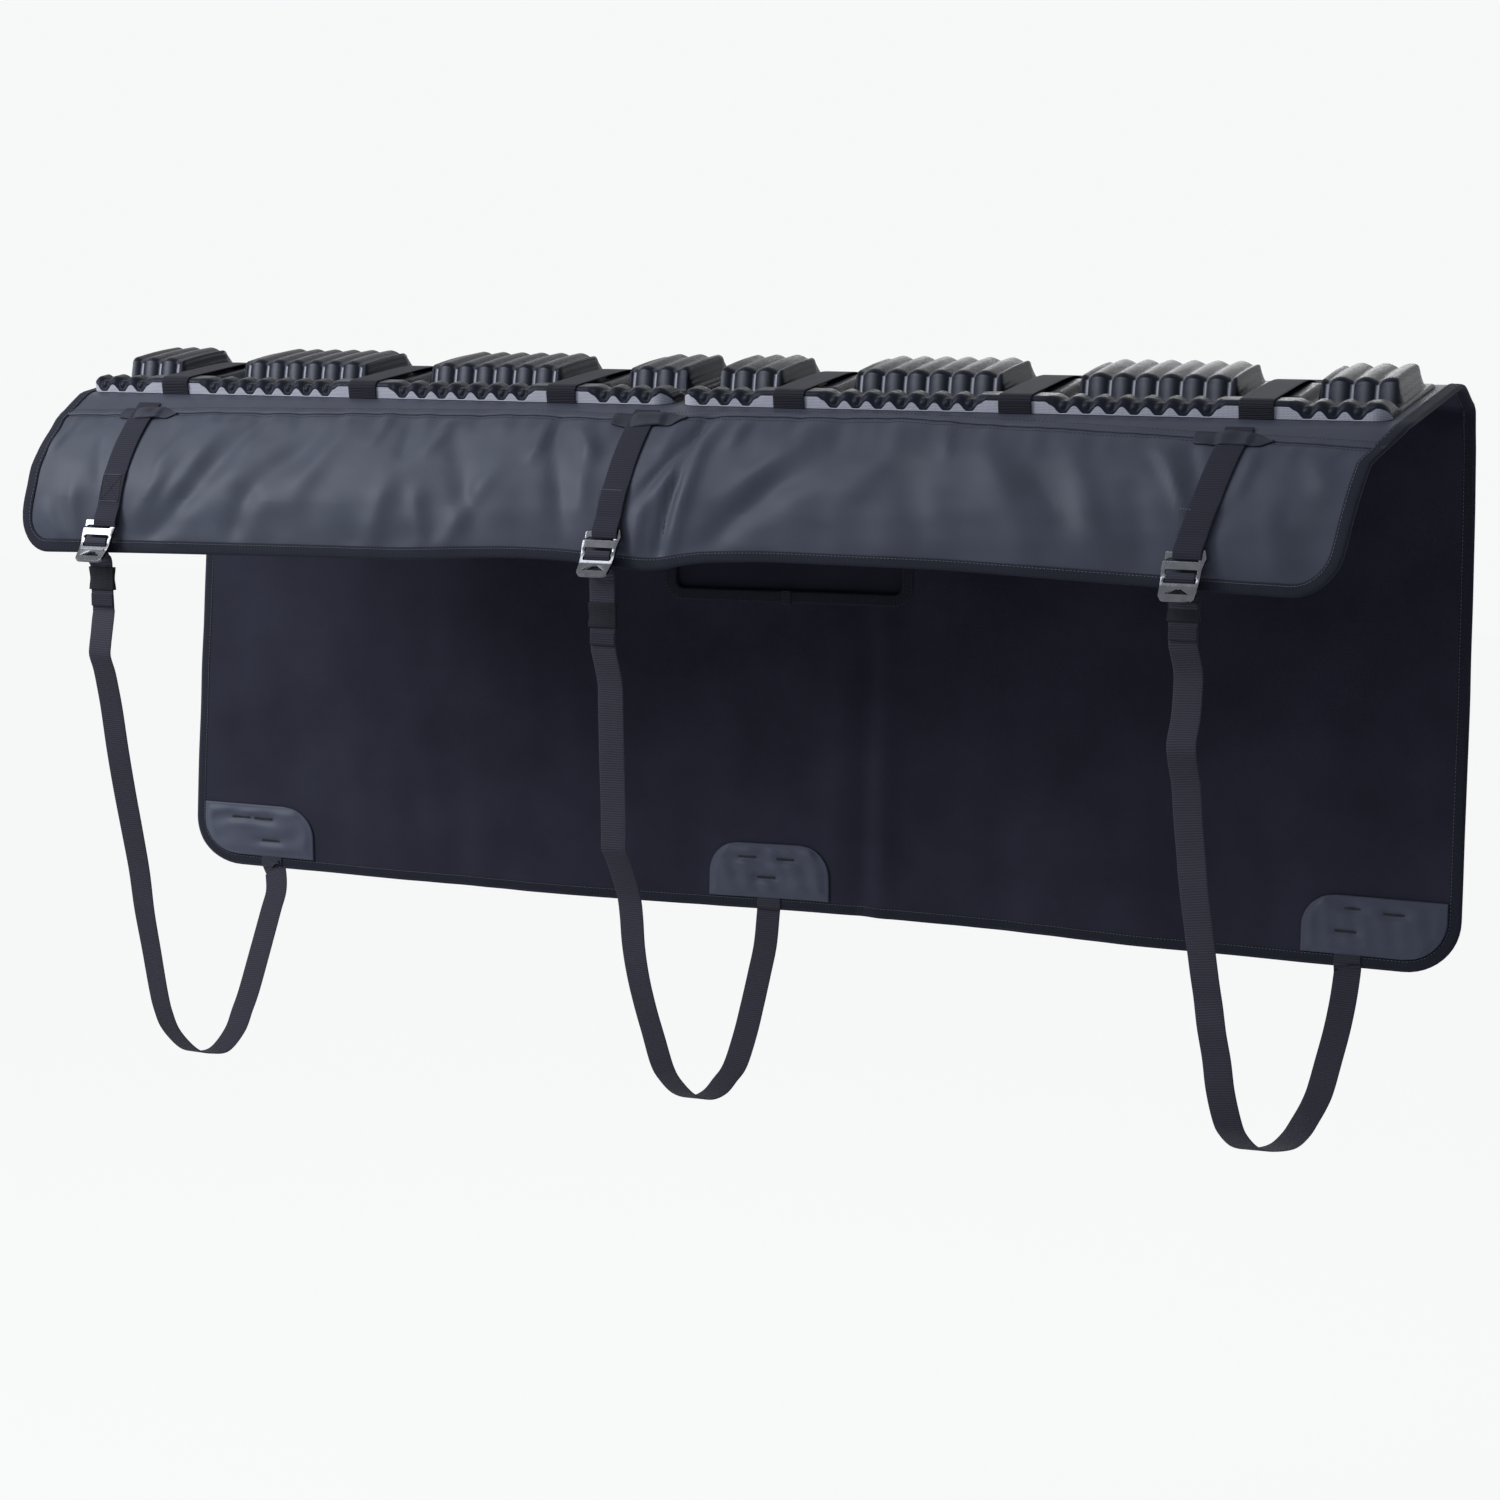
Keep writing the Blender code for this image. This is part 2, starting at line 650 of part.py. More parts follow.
def buckle_outline():
    """Hook buckle: a finger open on the left, over a frame with a middle bar and a finger tab."""
    half = BUCKLE_WIDTH / 2
    tip = half - 0.0005
    inner = half - BUCKLE_SIDE
    outer = filleted([
        (-half + 0.002, TAB_BOTTOM, 0.006), (half - 0.002, TAB_BOTTOM, 0.006), (half, TAB_LINE, 0.004),
        (half, FINGER_TOP, 0.007), (-tip, FINGER_TOP, 0.0024), (-tip, MOUTH[1], 0.0024),
        (inner + 0.0005, MOUTH[1], 0.0005), (inner + 0.0005, MOUTH[0], 0.0005), (-half, MOUTH[0], 0.004),
        (-half, TAB_LINE, 0.004),
    ], 3)
    slots = [[(-inner, low), (inner, low), (inner, high), (-inner, high)] for low, high in (LOWER_SLOT, UPPER_SLOT)]
    grip = filleted([(-0.012, TAB_LINE - 0.011, 0.002), (0.012, TAB_LINE - 0.011, 0.002),
                     (0.007, TAB_LINE - 0.005, 0.002), (-0.007, TAB_LINE - 0.005, 0.002)], 2)
    return [outer, *slots, grip]


def buckle_mesh():
    mesh = flat_mesh(buckle_outline(), -BUCKLE_PLATE / 2, BUCKLE_PLATE / 2)
    bm = bmesh.new()
    bm.from_mesh(mesh)
    everything = bm.verts[:] + bm.edges[:] + bm.faces[:]
    bmesh.ops.bisect_plane(bm, geom=everything, dist=1e-6, plane_co=(0, TAB_LINE, 0), plane_no=(0, 1, 0))
    tab = [vert for vert in bm.verts if vert.co.y < TAB_LINE - 1e-5]
    hinge = Vector((0, TAB_LINE, 0))
    bmesh.ops.rotate(bm, verts=tab, cent=hinge, matrix=Matrix.Rotation(-TAB_ANGLE, 3, "X"))
    bmesh.ops.dissolve_limit(bm, angle_limit=FLATNESS, verts=bm.verts[:], edges=bm.edges[:])
    bm.to_mesh(mesh)
    bm.free()
    return mesh


def make_buckles():
    slope = profile(BUCKLE_V)[2]
    place = drape(0, BUCKLE_V, PLATE_N)
    for name, x in zip(SIDES, STRAP_X):
        buckle = add("hook_buckle_" + name, buckle_mesh(), ALUMINIUM)
        buckle.rotation_euler = (slope, 0, 0)
        buckle.location = (x, place.y, place.z)
        bevel = buckle.modifiers.new("edges", "BEVEL")
        bevel.width = 0.0006
        bevel.segments = 1
        bevel.limit_method = "ANGLE"
        bevel.angle_limit = math.radians(50)


def loop_route(start, end):
    """The slack of a tension strap, from below its keeper to the rear hem."""
    handles = (start, start + Vector(FRONT_PULL), end + Vector(REAR_PULL), end)
    steps = 22
    route = []
    for k in range(1, steps + 1):
        t = k / steps
        weights = ((1 - t) ** 3, 3 * t * (1 - t) ** 2, 3 * t ** 2 * (1 - t), t ** 3)
        route.append(sum((weight * point for weight, point in zip(weights, handles)), Vector((0, 0))))
    return route


def make_lower_straps():
    """Back bands: through the buckle's frame, then a slack loop to the rear hem."""
    front, back, standing = PLATE_BACK, -PLATE_BACK, -STANDING_BACK
    bar_low, bar_high = LOWER_SLOT[1], UPPER_SLOT[0]
    threading = [
        (LOWER_SLOT[0] + CUT, back), (LOWER_SLOT[0] + WRAP, -PLATE_EDGE),
        (bar_low - WRAP, PLATE_EDGE), (bar_low - CUT, front), (bar_high + CUT, front), (bar_high + WRAP, PLATE_EDGE),
        (bar_high + WRAP, back), (bar_high - WRAP, standing),
    ]
    inside = -WRAP
    for name, x, anchor_x, keeper in zip(SIDES, STRAP_X, ANCHOR_X, KEEPER_TOP):
        tail = keeper - TAIL_KEEPER - TAIL_END
        route = [buckle_point(tail, back)]
        route += [buckle_point(height, out) for height, out in threading]
        start = buckle_point(tail - TAIL_END / 2, standing)
        hem = drape(0, REAR_HEM + GAP + TAPE, inside)
        top = drape(0, REAR_HEM - STRAP_TUCK, inside)
        route += [start, *loop_route(start, Vector((hem.y, hem.z))), Vector((top.y, top.z))]
        mesh = ribbon_mesh(route, STRAP_WIDTH, WEBBING)
        begin = start.x + 2 * BUCKLE_PLATE
        for vert in mesh.vertices:
            part = min(1, max(0, (vert.co.y - begin) / (hem.y - begin)))
            vert.co.x += x + (anchor_x - x) * part
        add("lower_strap_" + name, mesh, WEBBING_BLACK)


def make_tail_keepers():
    """Elastic rings that hold the strap's tail against the strap."""
    slope = profile(BUCKLE_V)[2]
    width = STRAP_WIDTH / 2 + GAP
    low, high = -STANDING_BACK - WEBBING / 2 - GAP, -PLATE_BACK + WEBBING / 2 + GAP
    inner = rectangle(-width, width, low, high, 0.0002)
    outer = rectangle(-width, width, low, high, 0.0002, ELASTIC)
    for name, x, top in zip(SIDES, STRAP_X, KEEPER_TOP):
        mesh = flat_mesh([outer, inner], top - TAIL_KEEPER, top)
        mesh.transform(Matrix(((1, 0, 0, 0), (0, 0, 1, 0), (0, 1, 0, 0), (0, 0, 0, 1))))
        mesh.flip_normals()
        keeper = add("tail_keeper_" + name, mesh, ELASTIC_BLACK)
        place = drape(0, BUCKLE_V, PLATE_N)
        keeper.rotation_euler = (slope, 0, 0)
        keeper.location = (x, place.y, place.z)


# Anchor patches

def make_anchor_patches():
    """Pockets inside the rear hem, each with a channel that holds the end of a strap."""
    bottom = REAR_HEM - TAPE_WIDTH - GAP
    top = bottom - PATCH_HEIGHT
    edge = HALF - TAPE_WIDTH - GAP
    under = PAD_CORNER - TAPE_WIDTH
    middle = ANCHOR_X[1]
    half = PATCH_CENTRE_WIDTH / 2
    spans = (
        [(-edge, top, 0), (-edge + PATCH_SIDE_WIDTH, top, PATCH_CORNER),
         (-edge + PATCH_SIDE_WIDTH, bottom, 0), (-edge, bottom, under)],
        [(middle - half, top, PATCH_CORNER), (middle + half, top, PATCH_CORNER),
         (middle + half, bottom, 0), (middle - half, bottom, 0)],
        [(edge - PATCH_SIDE_WIDTH, top, PATCH_CORNER), (edge, top, 0),
         (edge, bottom, under), (edge - PATCH_SIDE_WIDTH, bottom, 0)],
    )
    channel = STRAP_WIDTH / 2 + GAP
    depth = 2 * GAP + WEBBING
    for name, span, x in zip(SIDES, spans, ANCHOR_X):
        plate = flat_mesh([filleted(span)], -GAP - PATCH, -GAP)
        slot = rectangle(x - channel, x + channel, REAR_HEM - STRAP_TUCK - GAP, REAR_HEM, GAP)
        plate = subtract(plate, flat_mesh([slot], -depth, PATCH))
        add("anchor_patch_" + name, drape_mesh(plate), TARPAULIN)


clear_scene()
PARTS = collection("tailgate_pad")
CUTTERS = collection("cutters")
TARPAULIN = material("tarpaulin", (0.055, 0.06, 0.075), 0.55)
FLEECE = material("fleece", (0.008, 0.009, 0.014), 0.95)
BINDING = material("binding_tape", (0.022, 0.023, 0.03), 0.7)
FOAM = material("laminated_foam", (0.03, 0.032, 0.04), 0.4)
WEBBING_BLACK = material("webbing", (0.018, 0.019, 0.026), 0.8)
ELASTIC_BLACK = material("elastic", (0.02, 0.021, 0.028), 0.85)
ALUMINIUM = material("aluminium", (0.55, 0.56, 0.58), 0.35, 1.0)

make_panels()
make_edge_binding()
make_window()
make_rails()
make_bike_straps()
make_upper_straps()
make_strap_keepers()
make_buckles()
make_lower_straps()
make_tail_keepers()
make_anchor_patches()
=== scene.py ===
"""Looks of the tailgate pad: coated cloth, fleece, ribbed foam rails, webbing, stitching and hook buckles.

Every cloth piece is drawn flat, as it is cut: x across the pad, v along it from the middle of the foam
rails to the rear, and n out of the cloth. lay() hangs a flat place over the tailgate, with the wrinkles.
"""
import math

import bmesh
import bpy
import numpy as np
from mathutils import Matrix, Vector


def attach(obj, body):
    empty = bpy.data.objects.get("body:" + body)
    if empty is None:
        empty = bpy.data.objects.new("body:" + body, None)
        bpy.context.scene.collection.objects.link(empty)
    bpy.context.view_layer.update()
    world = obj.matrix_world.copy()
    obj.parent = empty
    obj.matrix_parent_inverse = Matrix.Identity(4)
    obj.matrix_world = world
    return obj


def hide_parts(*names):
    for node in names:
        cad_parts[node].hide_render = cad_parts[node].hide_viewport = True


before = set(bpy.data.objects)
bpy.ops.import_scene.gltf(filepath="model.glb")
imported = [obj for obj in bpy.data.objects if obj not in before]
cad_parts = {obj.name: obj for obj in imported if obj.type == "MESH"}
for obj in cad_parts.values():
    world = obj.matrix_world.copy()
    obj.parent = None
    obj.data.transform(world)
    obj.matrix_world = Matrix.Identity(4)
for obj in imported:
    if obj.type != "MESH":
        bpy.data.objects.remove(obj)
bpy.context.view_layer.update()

# Sizes of the flat pattern, as the CAD has them
HALF = 0.800
LINING = 0.0025
STACK = 0.0043
GAP = 0.0003
TAPE_WIDTH = 0.013
CORNER = 0.060
RAIL_FRONT = -0.100
FRONT_LEFT_CORNER = 0.036
SEAM = -0.134
FRONT_HEM = -0.305
FOLD_V = 0.181
REAR_V = 0.1915
REAR_HEM = 0.8075
TILT = 7.5
# Runs of the hanging side view, each way from the middle of the rails: length and degrees turned
RUNS_FRONT = ((0.100, 0.0), (0.026, 34.5), (0.008, 0.0), (0.134, 44.0), (0.037, 0.0))
RUNS_REAR = ((0.115, 0.0), (0.030, -22.0), (0.036, 0.0), (0.01054, -75.5), (0.616, 0.0))
# The window's sides and heights, and where the bands cross the flap and the seam and reach the rear hem
WINDOW = (-0.137, 0.153, 0.2845, 0.4225)
STRAP_X = (-0.676, -0.028, 0.608)
SEAM_X = (-0.670, -0.022, 0.635)
ANCHOR_X = (-0.700, -0.013, 0.682)
KEEPER_TOP = (-0.031, -0.053, -0.019)
SIDES = ("left", "middle", "right")
PITCH = 0.0254
WEBBING = 0.0014
STRAP = 0.030

# How the pad hangs askew: degrees its top turns each way, how far the rear hem's middle is drawn up, and how
# far the right rear corner of the top sinks
TWIST = 0.55
REAR_RISE = 0.0055
REAR_CORNER_DROOP = 0.011


# The hanging shape

def walk(runs, heading):
    """Places and slopes every half millimetre along the runs from the origin."""
    places = [(0.0, 0.0, 0.0, heading)]
    along, y, z = 0.0, 0.0, 0.0
    for length, turn in runs:
        steps = max(1, round(length / 0.0005))
        for _ in range(steps):
            heading += math.radians(turn) / steps / 2
            y += length / steps * math.cos(heading)
            z += length / steps * math.sin(heading)
            heading += math.radians(turn) / steps / 2
            along += length / steps
            places.append((along, y, z, heading))
    return np.array(places)


def profile_table():
    """Length, y, z and slope along the pad's middle, from the front hem to the rear hem."""
    rear = walk(RUNS_REAR, math.radians(TILT))
    front = walk(RUNS_FRONT, math.radians(TILT + 180))
    front[:, 0] *= -1
    front[:, 3] -= math.pi
    table = np.vstack((front[:0:-1], rear))
    for end, side in ((0, -1), (-1, 1)):
        v, y, z, slope = table[end]
        row = [v + 0.05 * side, y + 0.05 * side * math.cos(slope), z + 0.05 * side * math.sin(slope), slope]
        table = np.vstack((row, table) if side < 0 else (table, row))
    return table


TABLE = profile_table()


def smooth(low, high, value):
    """0 below low, 1 above high and a soft step between."""
    t = np.clip((value - low) / (high - low), 0, 1)
    return t * t * (3 - 2 * t)


def bump(value, middle, width):
    """1 at the middle, fading to both sides."""
    return np.exp(-((value - middle) / width) ** 2)


# How far the front seam and the front hem are drawn up towards the rails, across the pad
SEAM_PULL = ((-0.80, -0.010), (-0.70, -0.006), (-0.55, 0.001), (-0.35, 0.005), (-0.15, 0.009),
             (-0.02, 0.006), (0.06, 0.015), (0.15, 0.017), (0.28, 0.019), (0.38, 0.013), (0.51, 0.007),
             (0.60, 0.002), (0.80, -0.006))
HEM_PULL = ((-0.80, -0.007), (-0.66, -0.003), (-0.57, -0.001), (-0.42, 0.002), (-0.29, 0.004), (-0.16, 0.012),
            (-0.09, 0.012), (-0.02, 0.007), (0.02, 0.004), (0.07, 0.016), (0.15, 0.020), (0.35, 0.020),
            (0.50, 0.015), (0.66, 0.010), (0.80, 0.008))

# How far the pad's left and right ends stand from their cut line, along the pattern
LEFT_END = ((-0.305, 0.000), (-0.261, 0.000), (-0.236, 0.004), (-0.214, 0.006), (-0.190, 0.010),
            (-0.169, 0.016), (-0.153, 0.018), (-0.136, 0.021), (-0.115, 0.027), (-0.090, 0.024),
            (-0.050, 0.019), (0.000, 0.013), (0.100, 0.004), (0.180, -0.002), (0.350, -0.003),
            (0.500, -0.010), (0.650, -0.019), (0.780, -0.027))
RIGHT_END = ((-0.305, -0.040), (-0.250, -0.040), (-0.221, -0.036), (-0.194, -0.032), (-0.161, -0.028),
             (-0.143, -0.020), (-0.132, -0.014), (-0.116, -0.003), (-0.100, 0.000), (0.180, 0.000),
             (0.300, 0.003), (0.500, 0.006), (0.810, 0.006))


def pull(points, x):
    """Smooth curve through a few places across the pad."""
    known = np.array(points)
    fine = np.linspace(-0.85, 0.85, 341)
    rough = np.interp(fine, known[:, 0], known[:, 1])
    kernel = np.hanning(17)
    padded = np.concatenate((np.full(8, rough[0]), rough, np.full(8, rough[-1])))
    return np.interp(x, fine, np.convolve(padded, kernel / kernel.sum(), "valid"))


# Creases of the coated cloth: ends (x, v), half width and height
FLAP_CREASES = (
    (-0.592, -0.165, -0.622, -0.212, 0.008, 0.0035), (-0.565, -0.150, -0.640, -0.262, 0.010, 0.0030),
    (-0.488, -0.141, -0.570, -0.236, 0.016, -0.0045), (-0.570, -0.236, -0.625, -0.292, 0.014, -0.0040),
    (-0.545, -0.150, -0.600, -0.250, 0.012, 0.0030),
    (-0.412, -0.165, -0.492, -0.232, 0.017, -0.0040), (-0.492, -0.232, -0.512, -0.285, 0.015, -0.0035),
    (-0.478, -0.141, -0.512, -0.182, 0.009, 0.0035), (-0.375, -0.141, -0.430, -0.235, 0.016, 0.0030),
    (-0.768, -0.149, -0.783, -0.190, 0.007, 0.0030), (-0.742, -0.295, -0.768, -0.255, 0.010, 0.0030),
    (-0.720, -0.300, -0.735, -0.235, 0.010, 0.0025), (-0.690, -0.235, -0.715, -0.180, 0.010, -0.0025),
    (-0.332, -0.139, -0.345, -0.175, 0.008, 0.0028), (-0.305, -0.141, -0.300, -0.190, 0.010, -0.0030),
    (-0.252, -0.145, -0.272, -0.182, 0.009, 0.0032), (-0.240, -0.165, -0.200, -0.262, 0.014, -0.0042),
    (-0.310, -0.215, -0.330, -0.290, 0.014, 0.0028), (-0.275, -0.230, -0.262, -0.292, 0.010, 0.0025),
    (-0.180, -0.200, -0.235, -0.290, 0.012, 0.0028), (-0.128, -0.130, -0.092, -0.255, 0.011, -0.0040),
    (-0.096, -0.143, -0.062, -0.182, 0.007, 0.0042), (-0.128, -0.137, -0.140, -0.185, 0.008, 0.0032),
    (-0.075, -0.160, -0.068, -0.240, 0.010, 0.0030), (0.070, -0.116, 0.000, -0.222, 0.0055, -0.0050),
    (0.085, -0.125, 0.020, -0.222, 0.009, 0.0040), (0.050, -0.150, 0.024, -0.290, 0.0055, -0.0050),
    (0.062, -0.170, 0.040, -0.285, 0.008, 0.0040), (0.004, -0.235, -0.004, -0.292, 0.007, 0.0032),
    (0.030, -0.135, 0.012, -0.170, 0.008, 0.0035), (0.112, -0.132, 0.090, -0.162, 0.006, 0.0035),
    (0.160, -0.195, 0.088, -0.275, 0.015, -0.0040), (0.225, -0.150, 0.120, -0.250, 0.020, -0.0042),
    (0.190, -0.135, 0.110, -0.215, 0.014, 0.0035), (0.300, -0.125, 0.235, -0.225, 0.018, 0.0028),
    (0.328, -0.130, 0.338, -0.168, 0.007, 0.0034), (0.372, -0.135, 0.436, -0.275, 0.017, 0.0036),
    (0.432, -0.180, 0.480, -0.252, 0.015, -0.0036), (0.460, -0.140, 0.514, -0.262, 0.014, 0.0034),
    (0.300, -0.200, 0.330, -0.280, 0.018, -0.0026), (0.540, -0.190, 0.560, -0.275, 0.015, -0.0030),
    (0.566, -0.145, 0.600, -0.228, 0.007, 0.0040), (0.556, -0.150, 0.584, -0.195, 0.006, 0.0036),
    (0.590, -0.150, 0.606, -0.190, 0.006, -0.0030), (0.665, -0.150, 0.650, -0.200, 0.010, 0.0028),
    (0.735, -0.145, 0.765, -0.200, 0.014, 0.0022), (0.700, -0.210, 0.720, -0.285, 0.018, 0.0022),
)
REAR_CREASES = (
    (0.118, 0.300, 0.105, 0.800, 0.011, 0.0050), (0.140, 0.360, 0.132, 0.807, 0.013, -0.0045),
    (0.085, 0.450, 0.070, 0.790, 0.016, -0.0030), (-0.300, 0.300, -0.320, 0.700, 0.040, 0.0030),
    (-0.560, 0.280, -0.600, 0.600, 0.045, -0.0035), (0.430, 0.280, 0.460, 0.760, 0.045, -0.0032),
    (0.620, 0.250, 0.600, 0.560, 0.035, 0.0030), (-0.120, 0.480, -0.090, 0.800, 0.030, 0.0028),
    (0.300, 0.500, 0.280, 0.805, 0.028, 0.0030), (-0.450, 0.560, -0.430, 0.805, 0.030, 0.0028),
)


def crease(x, v, x0, v0, x1, v1, width, height):
    """A fold line that fades towards its ends."""
    dx, dv = x1 - x0, v1 - v0
    length = math.hypot(dx, dv)
    along = ((x - x0) * dx + (v - v0) * dv) / length ** 2
    across = ((x - x0) * dv - (v - v0) * dx) / length
    fade = smooth(-0.25, 0.2, along) * (1 - smooth(0.75, 1.3, along))
    return height * fade * np.exp(-(across / width) ** 2)


def ripples(x, v, seed, scale, count):
    """Soft uneven waves from a few seeded sines."""
    rng = np.random.RandomState(seed)
    total = np.zeros(np.broadcast(x, v).shape)
    for _ in range(count):
        angle, phase = rng.uniform(0, math.pi), rng.uniform(0, 2 * math.pi)
        wave = scale * rng.uniform(0.6, 1.6)
        total += np.sin(2 * math.pi * (x * math.cos(angle) + v * math.sin(angle)) / wave + phase)
    return total / math.sqrt(count)


def wrinkles(x, v):
    """How far the cloth stands out of its hanging shape."""
    total = np.zeros(np.broadcast(x, v).shape)
    flap = smooth(SEAM + 0.004, SEAM - 0.020, v)
    for fold in FLAP_CREASES:
        total += crease(x, v, *fold)
    total += 0.0011 * ripples(x, v, 5, 0.14, 9) + 0.0005 * ripples(x, v, 8, 0.055, 9)
    total *= flap
    near_seam = bump(v, SEAM - 0.012, 0.014)
    total += near_seam * (0.0011 * ripples(x, v * 0.3, 3, 0.036, 8) + 0.0008)
    total *= 1 - 0.75 * smooth(FRONT_HEM + 0.020, FRONT_HEM + 0.004, v)
    for seam_x, strap_x in zip(SEAM_X, STRAP_X):
        middle = strap_x + (seam_x - strap_x) * smooth(FRONT_HEM, SEAM, v)
        total *= 1 - 0.92 * np.exp(-(((x - middle) / 0.024) ** 4)) * smooth(-0.07, -0.10, v)
    rear = smooth(REAR_V, REAR_V + 0.05, v)
    drop = np.zeros_like(total)
    for fold in REAR_CREASES:
        drop += crease(x, v, *fold)
    drop += 0.0018 * ripples(x, v * 0.5, 11, 0.30, 8) + 0.0006 * ripples(x, v, 12, 0.09, 8)
    for anchor in ANCHOR_X:
        drop *= 1 - 0.9 * bump(x, anchor, 0.07) * smooth(0.68, 0.74, v)
    drop *= 1 - 0.9 * smooth(0.06, 0.0, np.maximum(np.maximum(WINDOW[0] - x, x - WINDOW[1]),
                                                    np.maximum(WINDOW[2] - v, v - WINDOW[3])))
    total += drop * rear
    top = smooth(-0.108, -0.100, v) * (1 - rear)
    return total * (1 - top) + top * 0.0004 * ripples(x, v, 21, 0.10, 6) * smooth(0.105, 0.13, v)


def end_shift(x, v):
    """How far the cloth near the pad's ends stands to the side."""
    left = np.interp(v, *np.array(LEFT_END).T) * smooth(-0.60, -0.80, x)
    return left + np.interp(v, *np.array(RIGHT_END).T) * smooth(0.60, 0.80, x)


def lay(x, v, n, cloth=True):
    """Hangs flat places over the tailgate. The foam and what lies on it don't take the cloth's wrinkles."""
    x, v, n = (np.asarray(item, float) for item in np.broadcast_arrays(x, v, n))
    lift, shift = n, 0.0
    if cloth:
        lift = n + wrinkles(x, v)
        shift = end_shift(x, v)
        v = v + pull(SEAM_PULL, x) * bump(v, SEAM, 0.019)
        v = v - REAR_RISE * bump(x, 0.06, 0.30) * smooth(0.5, 0.8, v)
        v = v + pull(HEM_PULL, x) * np.clip((SEAM - 0.03 - v) / (SEAM - 0.03 - FRONT_HEM), 0, 1.1) ** 1.5
    y, z, slope = (np.interp(v, TABLE[:, 0], TABLE[:, k]) for k in (1, 2, 3))
    twist = math.radians(TWIST) * np.tanh(x / 0.16)
    on_top = np.clip(v, RAIL_FRONT, FOLD_V)
    y0, z0 = (np.interp(RAIL_FRONT, TABLE[:, 0], TABLE[:, k]) for k in (1, 2))
    y1, z1 = (np.interp(on_top, TABLE[:, 0], TABLE[:, k]) for k in (1, 2))
    y = y + (np.cos(twist) - 1) * (y1 - y0) - np.sin(twist) * (z1 - z0)
    z = z + (np.cos(twist) - 1) * (z1 - z0) + np.sin(twist) * (y1 - y0)
    z = z - REAR_CORNER_DROOP * smooth(0.66, 0.80, x) * bump(v, 0.186, 0.04)
    slope = slope + twist * smooth(RAIL_FRONT - 0.004, RAIL_FRONT, v) * (1 - smooth(FOLD_V, REAR_V, v))
    return np.stack((x + shift, y - lift * np.sin(slope), z + lift * np.cos(slope)), -1)


# Meshes

def piece(name, places, faces, coat, uv=None):
    """One object of the pad from its places and faces, in the row frame."""
    mesh = bpy.data.meshes.new(name)
    mesh.from_pydata([tuple(place) for place in places], [], faces)
    if uv is not None:
        layer = mesh.uv_layers.new(name="pattern")
        corners = np.empty(len(mesh.loops), np.int32)
        mesh.loops.foreach_get("vertex_index", corners)
        layer.data.foreach_set("uv", np.asarray(uv, np.float32)[corners].ravel())
    mesh.polygons.foreach_set("use_smooth", [True] * len(mesh.polygons))
    mesh.materials.append(coat)
    obj = bpy.data.objects.new(name, mesh)
    bpy.context.scene.collection.objects.link(obj)
    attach(obj, "root")
    return obj


def face_out(obj):
    """Turns every face of a closed piece outwards."""
    bm = bmesh.new()
    bm.from_mesh(obj.data)
    bmesh.ops.recalc_face_normals(bm, faces=bm.faces[:])
    bm.to_mesh(obj.data)
    bm.free()


def run_along(path):
    """Length along a path up to each of its places."""
    return np.concatenate(([0], np.cumsum(np.linalg.norm(np.diff(path, axis=0), axis=1))))


def evenly(path, spacing):
    """Places at even steps along a path."""
    run = run_along(path)
    even = np.linspace(0, run[-1], max(2, round(run[-1] / spacing) + 1))
    return np.stack([np.interp(even, run, column) for column in path.T], -1)


def unit(vectors):
    """Vectors made 1 long."""
    return vectors / np.linalg.norm(vectors, axis=1)[:, None]


def grid_faces(rows, columns):
    """Quads of a grid of places that is stored row by row."""
    return [(r * columns + c, r * columns + c + 1, (r + 1) * columns + c + 1, (r + 1) * columns + c)
            for r in range(rows - 1) for c in range(columns - 1)]


def tube_faces(rows, columns, closed=False):
    """Quads between sections that each close on themselves, and back to the first where closed."""
    faces = []
    for r in range(rows if closed else rows - 1):
        here, beyond = r * columns, (r + 1) % rows * columns
        faces += [(here + c, here + (c + 1) % columns, beyond + (c + 1) % columns, beyond + c)
                  for c in range(columns)]
    return faces


def closed_sheet(rows, columns, skip=()):
    """Faces of two layers of a grid, the outer one first, joined round every free edge."""
    layer = rows * columns
    quads = [q for k, q in enumerate(grid_faces(rows, columns)) if k not in skip]
    edges = {}
    for a, b, c, d in quads:
        for e in ((a, b), (b, c), (c, d), (d, a)):
            if (e[1], e[0]) in edges:
                del edges[(e[1], e[0])]
            else:
                edges[e] = True
    inner = [(d + layer, c + layer, b + layer, a + layer) for a, b, c, d in quads]
    rim = [(b, a, a + layer, b + layer) for a, b in edges]
    return quads + inner + rim


def layered(name, x, v, outer, inner, coat, skip=()):
    """A closed piece of cloth between two heights over a grid of the flat pattern."""
    places = np.vstack([lay(x, v, n).reshape(-1, 3) for n in (outer, inner)])
    uv = np.tile(np.stack((x, v), -1).reshape(-1, 2), (2, 1))
    return piece(name, places, closed_sheet(*x.shape, skip), coat, uv)


def half_width(v, side):
    """Half the pad's width at v, less its rounded corners."""
    radius = np.where((v < 0) & (side < 0), FRONT_LEFT_CORNER, CORNER)
    near = np.clip(np.minimum(v - FRONT_HEM, REAR_HEM - v), 0, radius)
    return HALF - (radius - np.sqrt(np.maximum(radius ** 2 - (radius - near) ** 2, 0)))


def rows_between(low, high, spacing, hem, inward):
    """v of the rows of a sheet, closer together at the rounded corners of its hem."""
    rows = [v for v in np.linspace(low, high, max(2, round((high - low) / spacing) + 1))
            if (v - hem) * inward > CORNER]
    rows += [hem + inward * CORNER * (1 - math.cos(math.pi / 2 * k / 14)) for k in range(15)]
    return np.array(sorted(rows))


